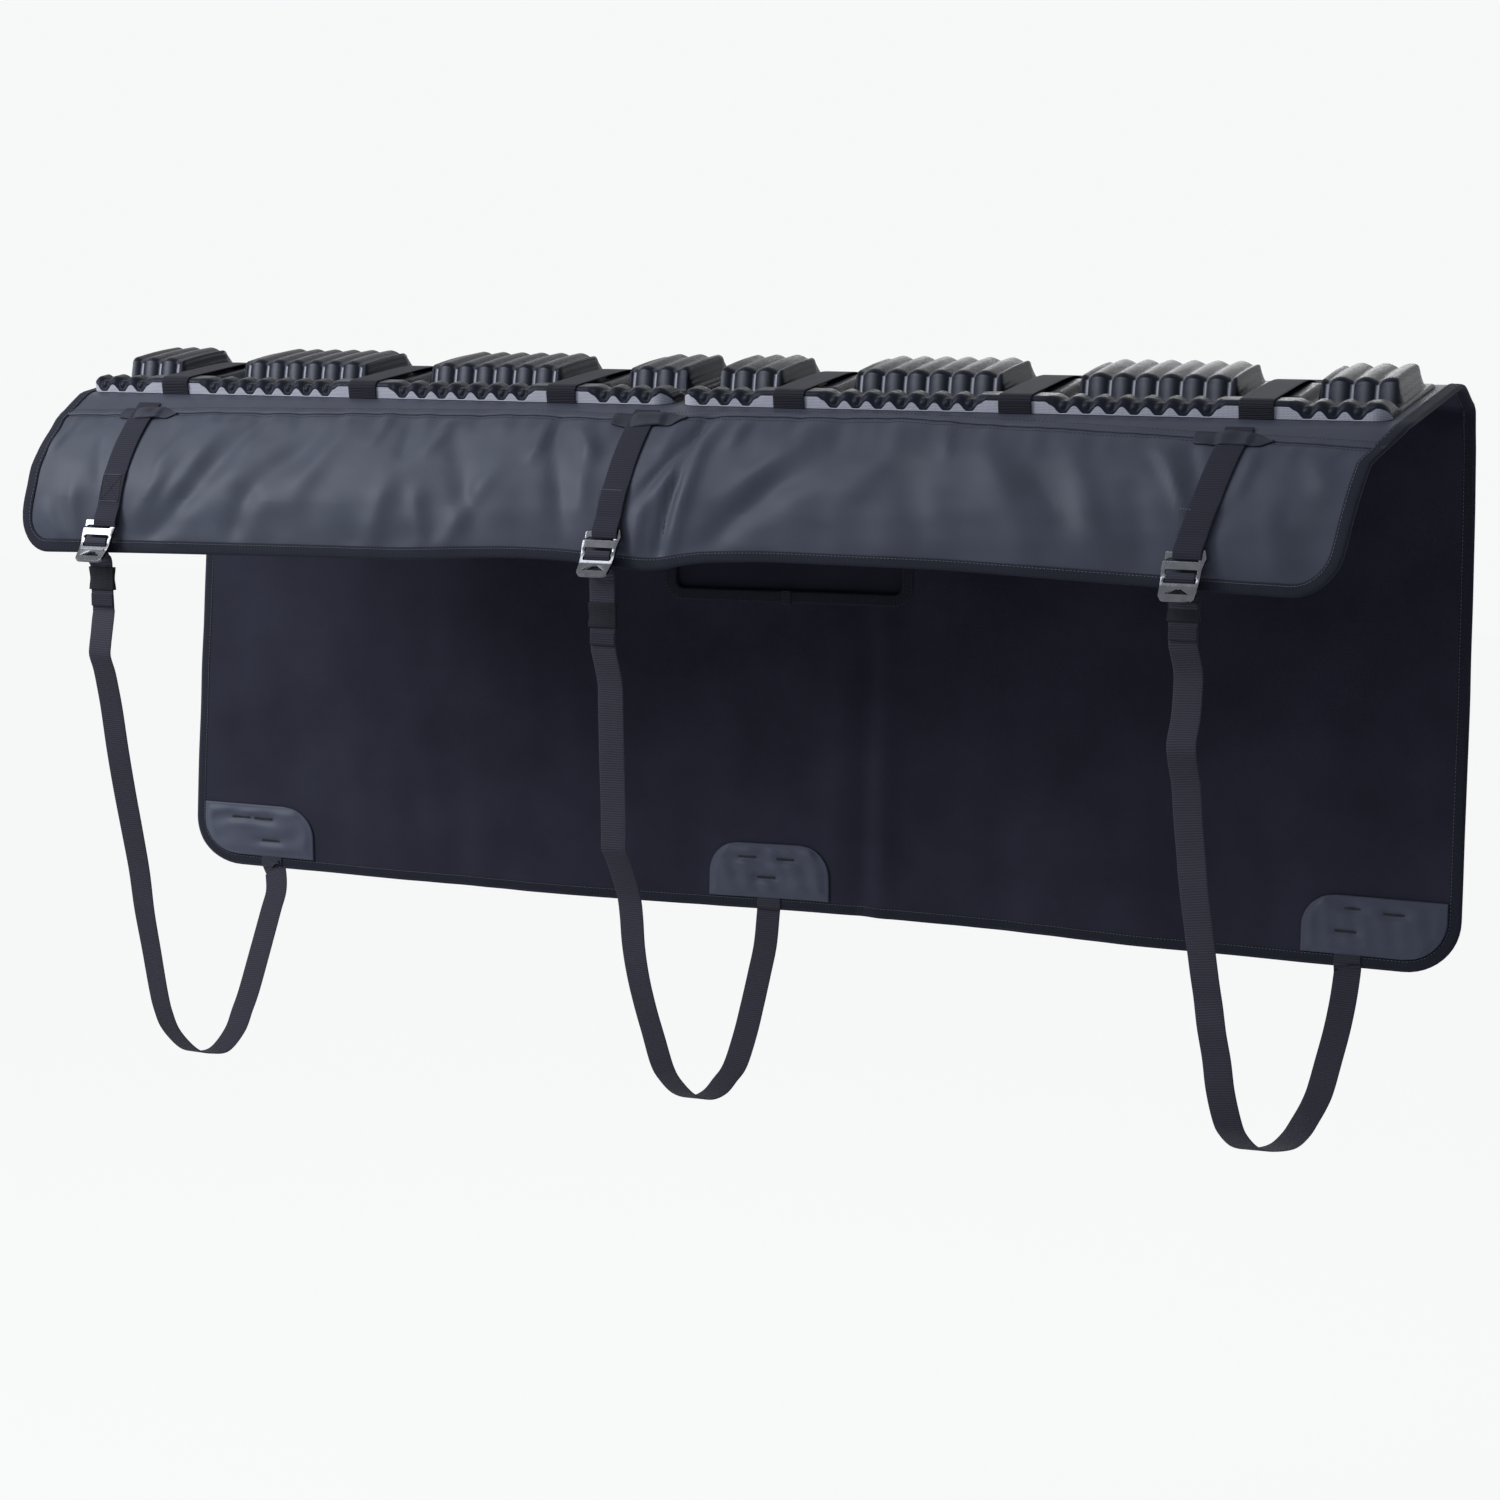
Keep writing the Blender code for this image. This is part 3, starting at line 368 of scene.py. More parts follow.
def sheet(name, vs, low, high, coat, spacing, hole=None):
    """A panel of the pad between two heights of the flat pattern."""
    us = np.linspace(-1, 1, round(2 * HALF / spacing) + 1)
    if hole:
        vs = vs.copy()
        for places, marks in ((us, (hole[0] / HALF, hole[1] / HALF)), (vs, hole[2:])):
            for mark in marks:
                places[np.argmin(abs(places - mark))] = mark
    v, u = np.meshgrid(vs, us, indexing="ij")
    x = u * half_width(v, np.sign(u))
    skip = set()
    if hole:
        v_in, u_in = np.meshgrid((vs[1:] + vs[:-1]) / 2, (us[1:] + us[:-1]) / 2 * HALF, indexing="ij")
        inside = (hole[0] < u_in) & (u_in < hole[1]) & (hole[2] < v_in) & (v_in < hole[3])
        skip = set(np.flatnonzero(inside).tolist())
    return layered(name, x, v, high, low, coat, skip)


def outline(x0, x1, v0, v1, radii, spacing, steps):
    """Places and inward directions round a rounded rectangle. radii go round from the corner at (x1, v0)."""
    sides = ((x1, v0, 1, -1), (x1, v1, 1, 1), (x0, v1, -1, 1), (x0, v0, -1, -1))
    centres = [(x - a * radius, v - b * radius, radius) for (x, v, a, b), radius in zip(sides, radii)]
    places = []
    for k, (cx, cv, radius) in enumerate(centres):
        for s in range(steps + 1):
            angle = math.radians(-90 + 90 * k + 90 * s / steps)
            places.append((cx + radius * math.cos(angle), cv + radius * math.sin(angle),
                           -math.cos(angle), -math.sin(angle)))
        nx, nv, following = centres[(k + 1) % 4]
        end = (nx + following * math.cos(angle), nv + following * math.sin(angle))
        last = places[-1]
        cuts = max(1, round(math.hypot(end[0] - last[0], end[1] - last[1]) / spacing))
        places += [(last[0] + (end[0] - last[0]) * t / cuts, last[1] + (end[1] - last[1]) * t / cuts,
                    last[2], last[3]) for t in range(1, cuts)]
    return np.array(places)


def sewn_line(loop, inset, n):
    """A closed line of stitches inside an outline."""
    path = loop[:, :2] + loop[:, 2:] * inset
    return np.column_stack((np.vstack((path, path[:1])), np.full(len(path) + 1, n)))


def swept_ring(name, loop, section, coat):
    """A closed section (inset, n) carried round an outline."""
    section = np.array(section)
    x = loop[:, None, 0] + loop[:, None, 2] * section[None, :, 0]
    v = loop[:, None, 1] + loop[:, None, 3] * section[None, :, 0]
    n = np.broadcast_to(section[None, :, 1], x.shape)
    run, girth = run_along(loop[:, :2]), run_along(section)
    uv = np.stack(np.broadcast_arrays(run[:, None], girth[None, :]), -1).reshape(-1, 2)
    ring = piece(name, lay(x, v, n).reshape(-1, 3), tube_faces(*x.shape, closed=True), coat, uv)
    face_out(ring)
    return ring


def band(name, centres, across, out, width, thickness, coat, ribs=None):
    """Webbing along a line of centres, with rounded edges. ribs gives the relief at each centre."""
    half, deep = width / 2, thickness / 2
    shape = [(-half, 0.35), (-half + 0.0004, 0.85), (-half + 0.0012, 1), (-half * 0.5, 1), (0, 1),
             (half * 0.5, 1), (half - 0.0012, 1), (half - 0.0004, 0.85), (half, 0.35)]
    shape += [(a, -b) for a, b in reversed(shape)]
    rows, columns = len(centres), len(shape)
    relief = np.zeros(rows) if ribs is None else ribs
    run = run_along(centres)
    places, uv = [], []
    for r in range(rows):
        for a, b in shape:
            rise = b * deep + (relief[r] if b > 0 else 0)
            places.append(centres[r] + across[r] * a + out[r] * rise)
            uv.append((run[r], a if b > 0 else a + 0.1))
    faces = tube_faces(rows, columns)
    faces.append(tuple(range(columns))[::-1])
    faces.append(tuple(range((rows - 1) * columns, rows * columns)))
    made = piece(name, places, faces, coat, np.array(uv))
    face_out(made)
    return made


def band_axes(centre, across=(1.0, 0.0, 0.0), square=True):
    """Across and out of a band at each centre, with across turned square to the band if wanted."""
    along = unit(np.gradient(centre, axis=0))
    across = np.broadcast_to(across, centre.shape)
    if square:
        across = unit(across - along * (across * along).sum(1)[:, None])
    return across, np.cross(across, along)


def resample(points, spacing):
    """Even places on a smooth curve through a route."""
    route = np.asarray(points, float)
    ends = np.vstack((2 * route[0] - route[1], route, 2 * route[-1] - route[-2]))
    fine = []
    for a, b, c, d in zip(ends, ends[1:], ends[2:], ends[3:]):
        for t in np.linspace(0, 1, 16, endpoint=False):
            fine.append(0.5 * (2 * b + (c - a) * t + (2 * a - 5 * b + 4 * c - d) * t ** 2
                               + (3 * b - a - 3 * c + d) * t ** 3))
    return evenly(np.array([*fine, route[-1]]), spacing)


def rounded_route(points, radius, spacing):
    """A route (along, height) with its corners rounded."""
    route = [np.array(point, float) for point in points]
    path = [route[0]]
    for before, here, after in zip(route, route[1:], route[2:]):
        back, on = np.linalg.norm(before - here), np.linalg.norm(after - here)
        reach = min(radius, back * 0.45, on * 0.45)
        start = here + (before - here) / back * reach
        end = here + (after - here) / on * reach
        for t in np.linspace(0, 1, 7):
            path.append((1 - t) ** 2 * start + 2 * t * (1 - t) * here + t * t * end)
    return evenly(np.array([*path, route[-1]]), spacing)


# Pitch, length and thickness of the stitches
TOPSTITCH = (0.0040, 0.0027, 0.0006)
SEAM_STITCH = (0.0042, 0.0028, 0.0007)
KEEPER_STITCH = (0.0030, 0.0021, 0.0006)
BOX_STITCH = (0.0026, 0.0019, 0.0010)
CROSS_STITCH = (0.0026, 0.0019, 0.0007)
BAR_TACK = (0.0016, 0.0017, 0.0014)


def stitches(name, lines, size, coat):
    """Rows of short thread stitches along lines of (x, v, n)."""
    pitch, length, thick = size
    ball = []
    for t, r in ((-0.5, 0.0), (-0.38, 0.8), (0.0, 1.0), (0.38, 0.8), (0.5, 0.0)):
        ball += [(t, 0.0, 0.0)] if r == 0 else [(t, r * math.cos(a), r * math.sin(a))
                                                for a in np.radians((45, 135, 225, 315))]
    faces = [(0, 1 + k, 1 + (k + 1) % 4) for k in range(4)]
    for ring in (1, 5):
        faces += [(ring + k, ring + 4 + k, ring + 4 + (k + 1) % 4, ring + (k + 1) % 4) for k in range(4)]
    faces += [(13, 9 + (k + 1) % 4, 9 + k) for k in range(4)]
    middles, before, beyond = [], [], []
    for line in lines:
        line = np.asarray(line, float)
        run = run_along(line)
        count = max(1, int(run[-1] / pitch))
        at = (np.arange(count) + 0.5) * run[-1] / count
        for places, step in ((middles, 0), (before, -0.001), (beyond, 0.001)):
            places.append(np.stack([np.interp(at + step, run, column) for column in line.T], -1))
    middles, before, beyond = (np.vstack(places) for places in (middles, before, beyond))
    centre = lay(*middles.T)
    along = unit(lay(*beyond.T) - lay(*before.T))
    out = unit(lay(*(middles + (0, 0, 0.002)).T) - centre)
    side = np.cross(out, along)
    shape = np.array(ball) * (length, thick / 2, thick / 2)
    places = centre[:, None] + (shape[None, :, :1] * along[:, None] + shape[None, :, 1:2] * side[:, None]
                                + shape[None, :, 2:] * out[:, None])
    every = [tuple(len(ball) * k + i for i in face) for k in range(len(centre)) for face in faces]
    made = piece(name, places.reshape(-1, 3), every, coat)
    face_out(made)
    return made


# Materials

def shader(name, colour, roughness, metallic=0.0, tint=None, **sockets):
    """A Principled material, its node tree and its shader."""
    made = bpy.data.materials.new(name)
    made.use_nodes = True
    bsdf = made.node_tree.nodes["Principled BSDF"]
    bsdf.inputs["Base Color"].default_value = (*colour, 1)
    bsdf.inputs["Roughness"].default_value = roughness
    bsdf.inputs["Metallic"].default_value = metallic
    if tint:
        bsdf.inputs["Specular Tint"].default_value = (*tint, 1)
    for socket, value in sockets.items():
        bsdf.inputs[socket.replace("_", " ")].default_value = value
    return made, made.node_tree, bsdf


def pattern(tree):
    """Places on the piece's own flat pattern, in metres."""
    made = tree.nodes.new("ShaderNodeUVMap")
    made.uv_map = "pattern"
    return made.outputs["UV"]


def noise(tree, place, scale, detail=2.0):
    """Cloudy texture, finer with a higher scale."""
    made = tree.nodes.new("ShaderNodeTexNoise")
    made.inputs["Scale"].default_value = scale
    made.inputs["Detail"].default_value = detail
    tree.links.new(place, made.inputs["Vector"])
    return made.outputs["Fac"]


def wave(tree, place, period, direction, distortion=0.0):
    """Lines a period apart, in metres."""
    made = tree.nodes.new("ShaderNodeTexWave")
    made.bands_direction = direction
    made.inputs["Scale"].default_value = 0.3142 / period
    made.inputs["Distortion"].default_value = distortion
    made.inputs["Detail Scale"].default_value = 300 if distortion else 1
    tree.links.new(place, made.inputs["Vector"])
    return made.outputs["Fac"]


def maths(tree, operation, *values):
    """A maths node over numbers and sockets."""
    made = tree.nodes.new("ShaderNodeMath")
    made.operation = operation
    for socket, value in zip(made.inputs, values):
        if isinstance(value, (int, float)):
            socket.default_value = value
        else:
            tree.links.new(value, socket)
    return made.outputs[0]


def tones(tree, bsdf, fac, low, high, low_at=0.3, high_at=0.7):
    """Base colour between two tones by a factor."""
    ramp = tree.nodes.new("ShaderNodeValToRGB")
    for element, place, colour in zip(ramp.color_ramp.elements, (low_at, high_at), (low, high)):
        element.position = place
        element.color = (*colour, 1)
    tree.links.new(fac, ramp.inputs["Fac"])
    tree.links.new(ramp.outputs["Color"], bsdf.inputs["Base Color"])


def shades(colour, *shares):
    """Darker and paler tones of a colour."""
    return [[channel * share for channel in colour] for share in shares]


def bumped(tree, bsdf, height, strength, distance):
    """Fine relief from a texture."""
    made = tree.nodes.new("ShaderNodeBump")
    made.inputs["Strength"].default_value = strength
    made.inputs["Distance"].default_value = distance
    tree.links.new(height, made.inputs["Height"])
    tree.links.new(made.outputs["Normal"], bsdf.inputs["Normal"])


def uneven_roughness(tree, bsdf, fac, spread, least):
    """Roughness from least up to least + spread."""
    tree.links.new(maths(tree, "MULTIPLY_ADD", fac, spread, least), bsdf.inputs["Roughness"])


def coated_cloth(name, colour, roughness):
    """Tarpaulin: a woven scrim that shows faintly through a matt coating."""
    made, tree, bsdf = shader(name, colour, roughness, tint=(0.80, 0.88, 1.0), Specular_IOR_Level=0.15)
    place = pattern(tree)
    grain, cloud = noise(tree, place, 900.0, 3.0), noise(tree, place, 14.0, 3.0)
    turned = tree.nodes.new("ShaderNodeMapping")
    turned.inputs["Rotation"].default_value = (0, 0, math.radians(45))
    tree.links.new(place, turned.inputs["Vector"])
    threads = [wave(tree, turned.outputs["Vector"], 0.0017954, direction) for direction in "XY"]
    height = maths(tree, "MULTIPLY_ADD", grain, 1.2, maths(tree, "MULTIPLY", *threads))
    bumped(tree, bsdf, height, 0.12, 0.0004)
    tones(tree, bsdf, cloud, *shades(colour, 0.90, 1.10))
    uneven_roughness(tree, bsdf, cloud, 0.12, roughness - 0.06)
    return made


def pile(name, colour):
    """Fleece lining with a short pile."""
    made, tree, bsdf = shader(name, colour, 0.95, Specular_IOR_Level=0.1, Sheen_Weight=0.25,
                              Sheen_Roughness=0.5, Sheen_Tint=(0.25, 0.28, 0.42, 1))
    place = pattern(tree)
    bumped(tree, bsdf, noise(tree, place, 1100.0, 4.0), 0.35, 0.0006)
    tones(tree, bsdf, noise(tree, place, 9.0, 4.0), *shades(colour, 0.82, 1.2))
    return made


def woven(name, colour, pitch, ridge, roughness=0.75):
    """Tape or webbing: cross ribs and fine lengthwise threads, along its pattern."""
    made, tree, bsdf = shader(name, colour, roughness, Specular_IOR_Level=0.12)
    place = pattern(tree)
    cross, fine = wave(tree, place, 2 * pitch, "X"), wave(tree, place, 0.0016, "Y")
    height = maths(tree, "MULTIPLY_ADD", fine, 0.5, cross)
    height = maths(tree, "MULTIPLY_ADD", noise(tree, place, 1500.0, 3.0), 0.6, height)
    bumped(tree, bsdf, height, ridge, 0.0005)
    tones(tree, bsdf, cross, *shades(colour, 0.72, 1.2), 0.1, 0.9)
    return made


def knit_foam():
    """Satin knit pulled over moulded foam. The wall mark paints it pale: painted light on the bar's front
    wall and painted highlights on the blocks.
    """
    made, tree, bsdf = shader("foam_knit", (0.03, 0.032, 0.042), 0.26, tint=(0.72, 0.80, 1.0),
                              Specular_IOR_Level=0.09)
    place = pattern(tree)
    knit = maths(tree, "MULTIPLY", wave(tree, place, 0.0016, "Y", 0.6), wave(tree, place, 0.0013, "X"))
    height = maths(tree, "MULTIPLY_ADD", noise(tree, place, 700.0, 3.0), 0.5, knit)
    bumped(tree, bsdf, height, 0.28, 0.0005)
    wall = tree.nodes.new("ShaderNodeAttribute")
    wall.attribute_name = "wall"
    # Painted light: where the wall mark is set, the knit turns pale grey. This stands in for light on the
    # front wall and highlights on the blocks.
    painted_pale = maths(tree, "MULTIPLY", wall.outputs["Fac"], maths(tree, "MULTIPLY_ADD", knit, 0.9, 0.45))
    tones(tree, bsdf, painted_pale, (0.012, 0.0135, 0.022), (0.62, 0.64, 0.75), 0.0, 1.0)
    uneven_roughness(tree, bsdf, wall.outputs["Fac"], 0.30, 0.26)
    return made


def blasted_metal():
    """Blasted aluminium, a little cloudy."""
    made, tree, bsdf = shader("blasted_aluminium", (0.10, 0.105, 0.118), 0.22, 1.0)
    place = tree.nodes.new("ShaderNodeTexCoord").outputs["Object"]
    grit = noise(tree, place, 1800.0, 3.0)
    bumped(tree, bsdf, grit, 0.15, 0.0003)
    tones(tree, bsdf, noise(tree, place, 120.0), (0.090, 0.095, 0.106), (0.118, 0.123, 0.138))
    uneven_roughness(tree, bsdf, grit, 0.10, 0.17)
    return made


def thread(name, colour):
    """Sewing thread."""
    made, tree, bsdf = shader(name, colour, 0.6)
    place = tree.nodes.new("ShaderNodeTexCoord").outputs["Object"]
    bumped(tree, bsdf, noise(tree, place, 2500.0), 0.3, 0.0003)
    return made


TARPAULIN = coated_cloth("coated_cloth", (0.050, 0.056, 0.079), 0.44)
KEEPER_CLOTH = coated_cloth("keeper_cloth", (0.024, 0.026, 0.038), 0.50)
PATCH_CLOTH = coated_cloth("patch_cloth", (0.070, 0.077, 0.110), 0.46)
WINDOW_BACK = coated_cloth("window_back", (0.017, 0.018, 0.029), 0.80)
FLEECE = pile("fleece_pile", (0.0240, 0.0245, 0.0390))
TAPE = woven("binding_tape_weave", (0.017, 0.019, 0.030), 0.0010, 0.35)
WEB = woven("webbing_weave", (0.025, 0.026, 0.039), 0.0013, 0.5)
LOOP_WEB = woven("loop_webbing_weave", (0.038, 0.039, 0.054), 0.0013, 0.5)
RIB_WEB = woven("ribbed_webbing", (0.018, 0.019, 0.028), 0.0018, 0.5, 0.65)
ELASTIC = woven("elastic_weave", (0.016, 0.0165, 0.022), 0.0009, 0.6)
FOAM = knit_foam()
METAL = blasted_metal()
BLACK_THREAD = thread("black_thread", (0.010, 0.010, 0.014))
GREY_THREAD = thread("grey_thread", (0.13, 0.14, 0.17))


# Panels, bindings and the window

CLOTH_STEP = 0.0085
FLAP_STEP = 0.0055
OVER = STACK + GAP


def make_panels():
    """The flap, the cover and the fleece under both, each of two layers."""
    flap_rows = rows_between(FRONT_HEM, SEAM, FLAP_STEP, FRONT_HEM, 1)
    flap = sheet("flap_cloth", flap_rows, LINING + GAP, STACK, TARPAULIN, FLAP_STEP)
    rear_rows = np.concatenate((np.linspace(FOLD_V, REAR_V, 9)[1:],
                                rows_between(REAR_V, REAR_HEM, CLOTH_STEP, REAR_HEM, -1)[1:]))
    cover_rows = np.concatenate((np.linspace(SEAM - 0.0045, RAIL_FRONT, 12),
                                 np.linspace(RAIL_FRONT, FOLD_V, 36)[1:], rear_rows))
    cover = sheet("cover_cloth", cover_rows, LINING + GAP, STACK, TARPAULIN, CLOTH_STEP, WINDOW)
    raise_seam_edge(cover)
    lining_rows = np.concatenate((rows_between(FRONT_HEM, SEAM, CLOTH_STEP, FRONT_HEM, 1),
                                  np.linspace(SEAM, RAIL_FRONT, 8)[1:],
                                  np.linspace(RAIL_FRONT, FOLD_V, 30)[1:], rear_rows))
    lining = sheet("lining_fleece", lining_rows, 0.0, LINING, FLEECE, CLOTH_STEP, WINDOW)
    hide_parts("front_flap")
    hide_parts("main_cover")
    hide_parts("lining")
    return flap, cover, lining


def raise_seam_edge(cover):
    """The cover's front edge lies folded over the flap."""
    places = cover.data.vertices
    columns = round(2 * HALF / CLOTH_STEP) + 1
    for layer in (0, len(places) // 2):
        for r, rise in enumerate((0.0012, 0.0012, 0.0009, 0.0005, 0.0002)):
            for c in range(columns):
                places[layer + r * columns + c].co.z += rise * 0.9
                places[layer + r * columns + c].co.y -= rise * 0.5


def make_edge_binding():
    """Tape folded round the pad's whole edge, and its stitches on both sides."""
    loop = outline(-HALF, HALF, FRONT_HEM, REAR_HEM, (CORNER, CORNER, CORNER, FRONT_LEFT_CORNER), 0.007, 12)
    low, high = 0.0007, OVER
    section = [(0.0130, high), (0.0133, high + 0.0005), (0.0126, high + 0.0009), (0.0100, high + 0.0010),
               (0.0060, high + 0.0011), (0.0020, high + 0.0009), (-0.0003, high + 0.0003),
               (-0.0010, high - 0.0010), (-0.0010, low + 0.0010), (-0.0003, low - 0.0001),
               (0.0020, low - 0.0007), (0.0060, low - 0.0009), (0.0100, low - 0.0008), (0.0126, low - 0.0007),
               (0.0133, low - 0.0003), (0.0130, low), (0.0004, low + 0.0001), (0.0004, high - 0.0001)]
    ring = swept_ring("edge_tape", loop, section, TAPE)
    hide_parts("edge_binding")
    lines = [sewn_line(loop, 0.0108, n) for n in (high + 0.0012, low - 0.0011)]
    return [ring, stitches("edge_stitching", lines, TOPSTITCH, GREY_THREAD)]


def make_window():
    """The window's binding, and the cover that hangs behind it, with its pull tab."""
    loop = outline(*WINDOW, (0.010,) * 4, 0.008, 6)
    loop[:, 2:] *= -1
    low, high = 0.0004, OVER
    section = [(0.0140, high), (0.0142, high + 0.0006), (0.0120, high + 0.0009), (0.0030, high + 0.0009),
               (0.0000, high + 0.0004), (-0.0009, high - 0.0010), (-0.0009, low + 0.0010),
               (0.0000, low - 0.0006), (0.0030, low - 0.0010), (0.0120, low - 0.0009),
               (0.0142, low - 0.0006), (0.0140, low), (0.0004, low), (0.0004, high)]
    ring = swept_ring("window_tape", loop, section, TAPE)
    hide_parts("window_binding")
    lines = [sewn_line(loop, inset, n) for inset in (0.0020, 0.0122) for n in (high + 0.0012, low - 0.0012)]
    stitching = stitches("window_stitching", lines, TOPSTITCH, BLACK_THREAD)
    rows, columns = 32, 60
    xs = np.linspace(WINDOW[0] - 0.030, WINDOW[1] + 0.030, columns)
    vs = np.linspace(WINDOW[2] - 0.023, WINDOW[3] + 0.023, rows)
    v, x = np.meshgrid(vs, xs, indexing="ij")
    outside = high + 0.0013
    swell = 0.0008 * ripples(x, v, 31, 0.08, 7) ** 2 * bump(v, np.mean(vs), 0.05) * bump(x, 0.007, 0.13)
    flap = layered("window_cover", x, v, outside + 0.0015 + swell, outside + swell, TARPAULIN)
    flap.data.materials.append(WINDOW_BACK)
    count = (rows - 1) * (columns - 1)
    for polygon in flap.data.polygons[count:2 * count]:
        polygon.material_index = 1
    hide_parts("window_flap")
    edge = outline(xs[0] + 0.004, xs[-1] - 0.004, vs[0] + 0.004, vs[-1] - 0.004, (0.004,) * 4, 0.02, 3)
    rim = stitches("window_cover_stitching", [sewn_line(edge, 0.0, outside + 0.0017)], TOPSTITCH, GREY_THREAD)
    route = np.linspace(WINDOW[3] - 0.0011, WINDOW[3] + 0.0161, 10)
    centre = lay(0.007, route, -0.0011)
    tab = band("window_tab", centre, np.tile((1.0, 0, 0), (10, 1)), unit(lay(0.007, route, -0.003) - centre),
               0.012, 0.0012, WEB)
    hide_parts("window_pull_tab")
    return flap, [ring, stitching, rim, tab]


def make_seams():
    """Black stitches along the front seam and below it."""
    xs = np.linspace(-HALF + 0.012, HALF - 0.012, 260)
    lines = [np.column_stack((xs, np.full(260, v), np.full(260, n)))
             for v, n in ((SEAM + 0.0030, STACK + 0.0024), (SEAM - 0.0075, STACK + 0.0002))]
    return stitches("seam_stitching", lines, SEAM_STITCH, BLACK_THREAD)


# Foam rails

GROUPS = ((0, 2), (6, 12), (16, 22), (26, 28))
BAYS = (4, 14, 24)
RAIL_START = 0.007
RAIL_END = 1.10
LAST = 28
CREST = 0.0180
VALLEY = 0.0118
BASE = 0.0040
BLOCK_FRONT = 0.0720
BLOCK_BACK = 0.1915
BLOCK_TOP = 0.0295


def groove_distance(along):
    """Metres to the nearest groove, with its sign, from a place in pitches along the rail."""
    grooves = np.concatenate([np.arange(first, last + 1) for first, last in GROUPS])
    apart = along[:, None] - grooves[None, :]
    return apart[np.arange(len(along)), np.argmin(abs(apart), axis=1)] * PITCH


def ridge_wave(along):
    """1 on a crest or a plateau and 0 in a groove."""
    wave = np.ones_like(along)
    for first, last in GROUPS:
        inside = (along > first - 0.5) & (along < last + 0.5)
        wave = np.where(inside, np.abs(np.sin(math.pi * (along - first))), wave)
    return np.sqrt(wave ** 2 * 0.98 + 0.02 * (wave > 0.999) + 0.0003)


def rounded(distance, radius):
    """Rise of a quarter round from 0 to 1 over its radius."""
    t = np.clip(distance / radius, 0, 1)
    return np.sqrt(np.maximum(0, 1 - (1 - t) ** 2))


def block_rise(along, side):
    """0 between the blocks and 1 on them, and the distance in from the block's nearer side."""
    rise, inside = np.zeros_like(along), np.zeros_like(along)
    for first, last in GROUPS:
        before = 0.75 if first == 0 else 0.43
        after = (1.0 if side > 0 else 0.72) if last == LAST else 0.43
        near = np.minimum(along - first + before, last + after - along) * PITCH
        steep = np.clip(near / 0.0045, 0, 1) * 0.78 + 0.22 * rounded(near - 0.0030, 0.0070)
        rise = np.maximum(rise, np.where(near > 0, steep, 0))
        inside = np.maximum(inside, np.where(near > 0, near, 0))
    return rise, inside


def bar_rows(corner, dist, wave, end):
    """Rows over the ribbed bar from its front foot, and how many of them are on its front wall."""
    none = np.zeros_like(dist)
    plateau = smooth(0.0115, 0.0190, dist)
    ridge = (VALLEY + (CREST - VALLEY) * wave) * end
    wall = np.minimum(0.0010 + 0.0078 * smooth(0.0026, 0.0120, dist) + 0.0038 * plateau, ridge * 0.7)
    # The third value of each row is the painted light mark: 1 paints the front wall pale.
    rows = [(corner, none, none + 1), (corner, none + 0.0006, none + 1)]
    rows += [(corner + 0.0002 * k / 8, 0.0006 + (wall - 0.0006) * k / 8, none + 1) for k in range(1, 9)]
    wall_rows = len(rows)
    scoop = 0.0035 * (1 - smooth(0.004, 0.010, dist)) * end
    nose = 0.0125 - 0.0032 * wave - 0.0030 * plateau + scoop
    for angle in math.pi / 2 * np.array([0.15, *range(1, 16)]) / 15:
        rows.append((corner + 0.0002 + nose * (1 - math.cos(angle)),
                     wall + (ridge - wall) * math.sin(angle), none))
    rows += [(corner + depth, ridge, none) for depth in (0.0170, 0.0190, 0.0212, 0.0235)]
    for k in range(1, 9):
        angle = math.pi / 2 * k / 8
        fall = math.cos(angle) * 0.7 + 0.3 * (1 - k / 8)
        rows.append((corner + 0.0235 + 0.0100 * math.sin(angle), BASE + (ridge - BASE) * fall, none))
    rows.append((corner + 0.0375, none + BASE, none))
    return rows, wall_rows


def block_rows(apart, wave, rise, inside, base):
    """Rows over the fluted blocks from their front foot, with painted highlights: pale streaks down the
    flutes, a pale band on each front and streaks along the tops.
    """
    none, dist = np.zeros_like(apart), abs(apart)
    plan = 0.0100 * (1 - rounded(inside, 0.0120))
    top = BLOCK_TOP - 0.0052 * (1 - wave)
    front, back = BLOCK_FRONT + plan + 0.0042 * (1 - wave), BLOCK_BACK - plan
    # Painted highlights: pale streaks down the flutes and a paler band in the middle of each block's front.
    painted_pale = (np.exp(-(dist / 0.0014) ** 4) + 0.28 * np.exp(-((dist - 0.0127) / 0.0048) ** 2)) * (rise > 0.9)
    # Painted highlight streaks along the block tops, beside the grooves.
    painted_highlight = 0.26 * np.exp(-((apart - 0.0020) / 0.0013) ** 2) * (rise > 0.9)
    rows = [(front + inset, base + rise * (top - base) * height, painted_pale)
            for height, inset in ((0.0, 0.0), (0.05, 0.0004), (0.2, 0.0012), (0.4, 0.0024), (0.6, 0.0038),
                                  (0.72, 0.0050))]
    for k in range(1, 9):
        angle = math.pi / 2 * k / 8
        rows.append((front + 0.0050 + 0.0085 * (1 - math.cos(angle)),
                     base + rise * (top - base) * (0.72 + 0.28 * math.sin(angle)), painted_pale if k < 3 else painted_highlight))
    start, stop = front + 0.0135, back - 0.0240
    for t in np.linspace(0.06, 0.94, 12):
        crown = 0.0010 * math.sin(math.pi * t)
        rows.append((start + (stop - start) * t, base + rise * (top + crown - base), painted_highlight * (1 - 0.8 * t)))
    for k in range(0, 7):
        angle = math.pi / 2 * k / 6
        rows.append((stop + 0.0090 * math.sin(angle),
                     base + rise * (top - base) * (0.76 + 0.24 * math.cos(angle)), none))
    rows += [(back - 0.0150 + 0.0150 * t, base + rise * (top - base) * 0.76 * (1 - t), none)
             for t in (0.25, 0.5, 0.75, 1.0)]
    return rows


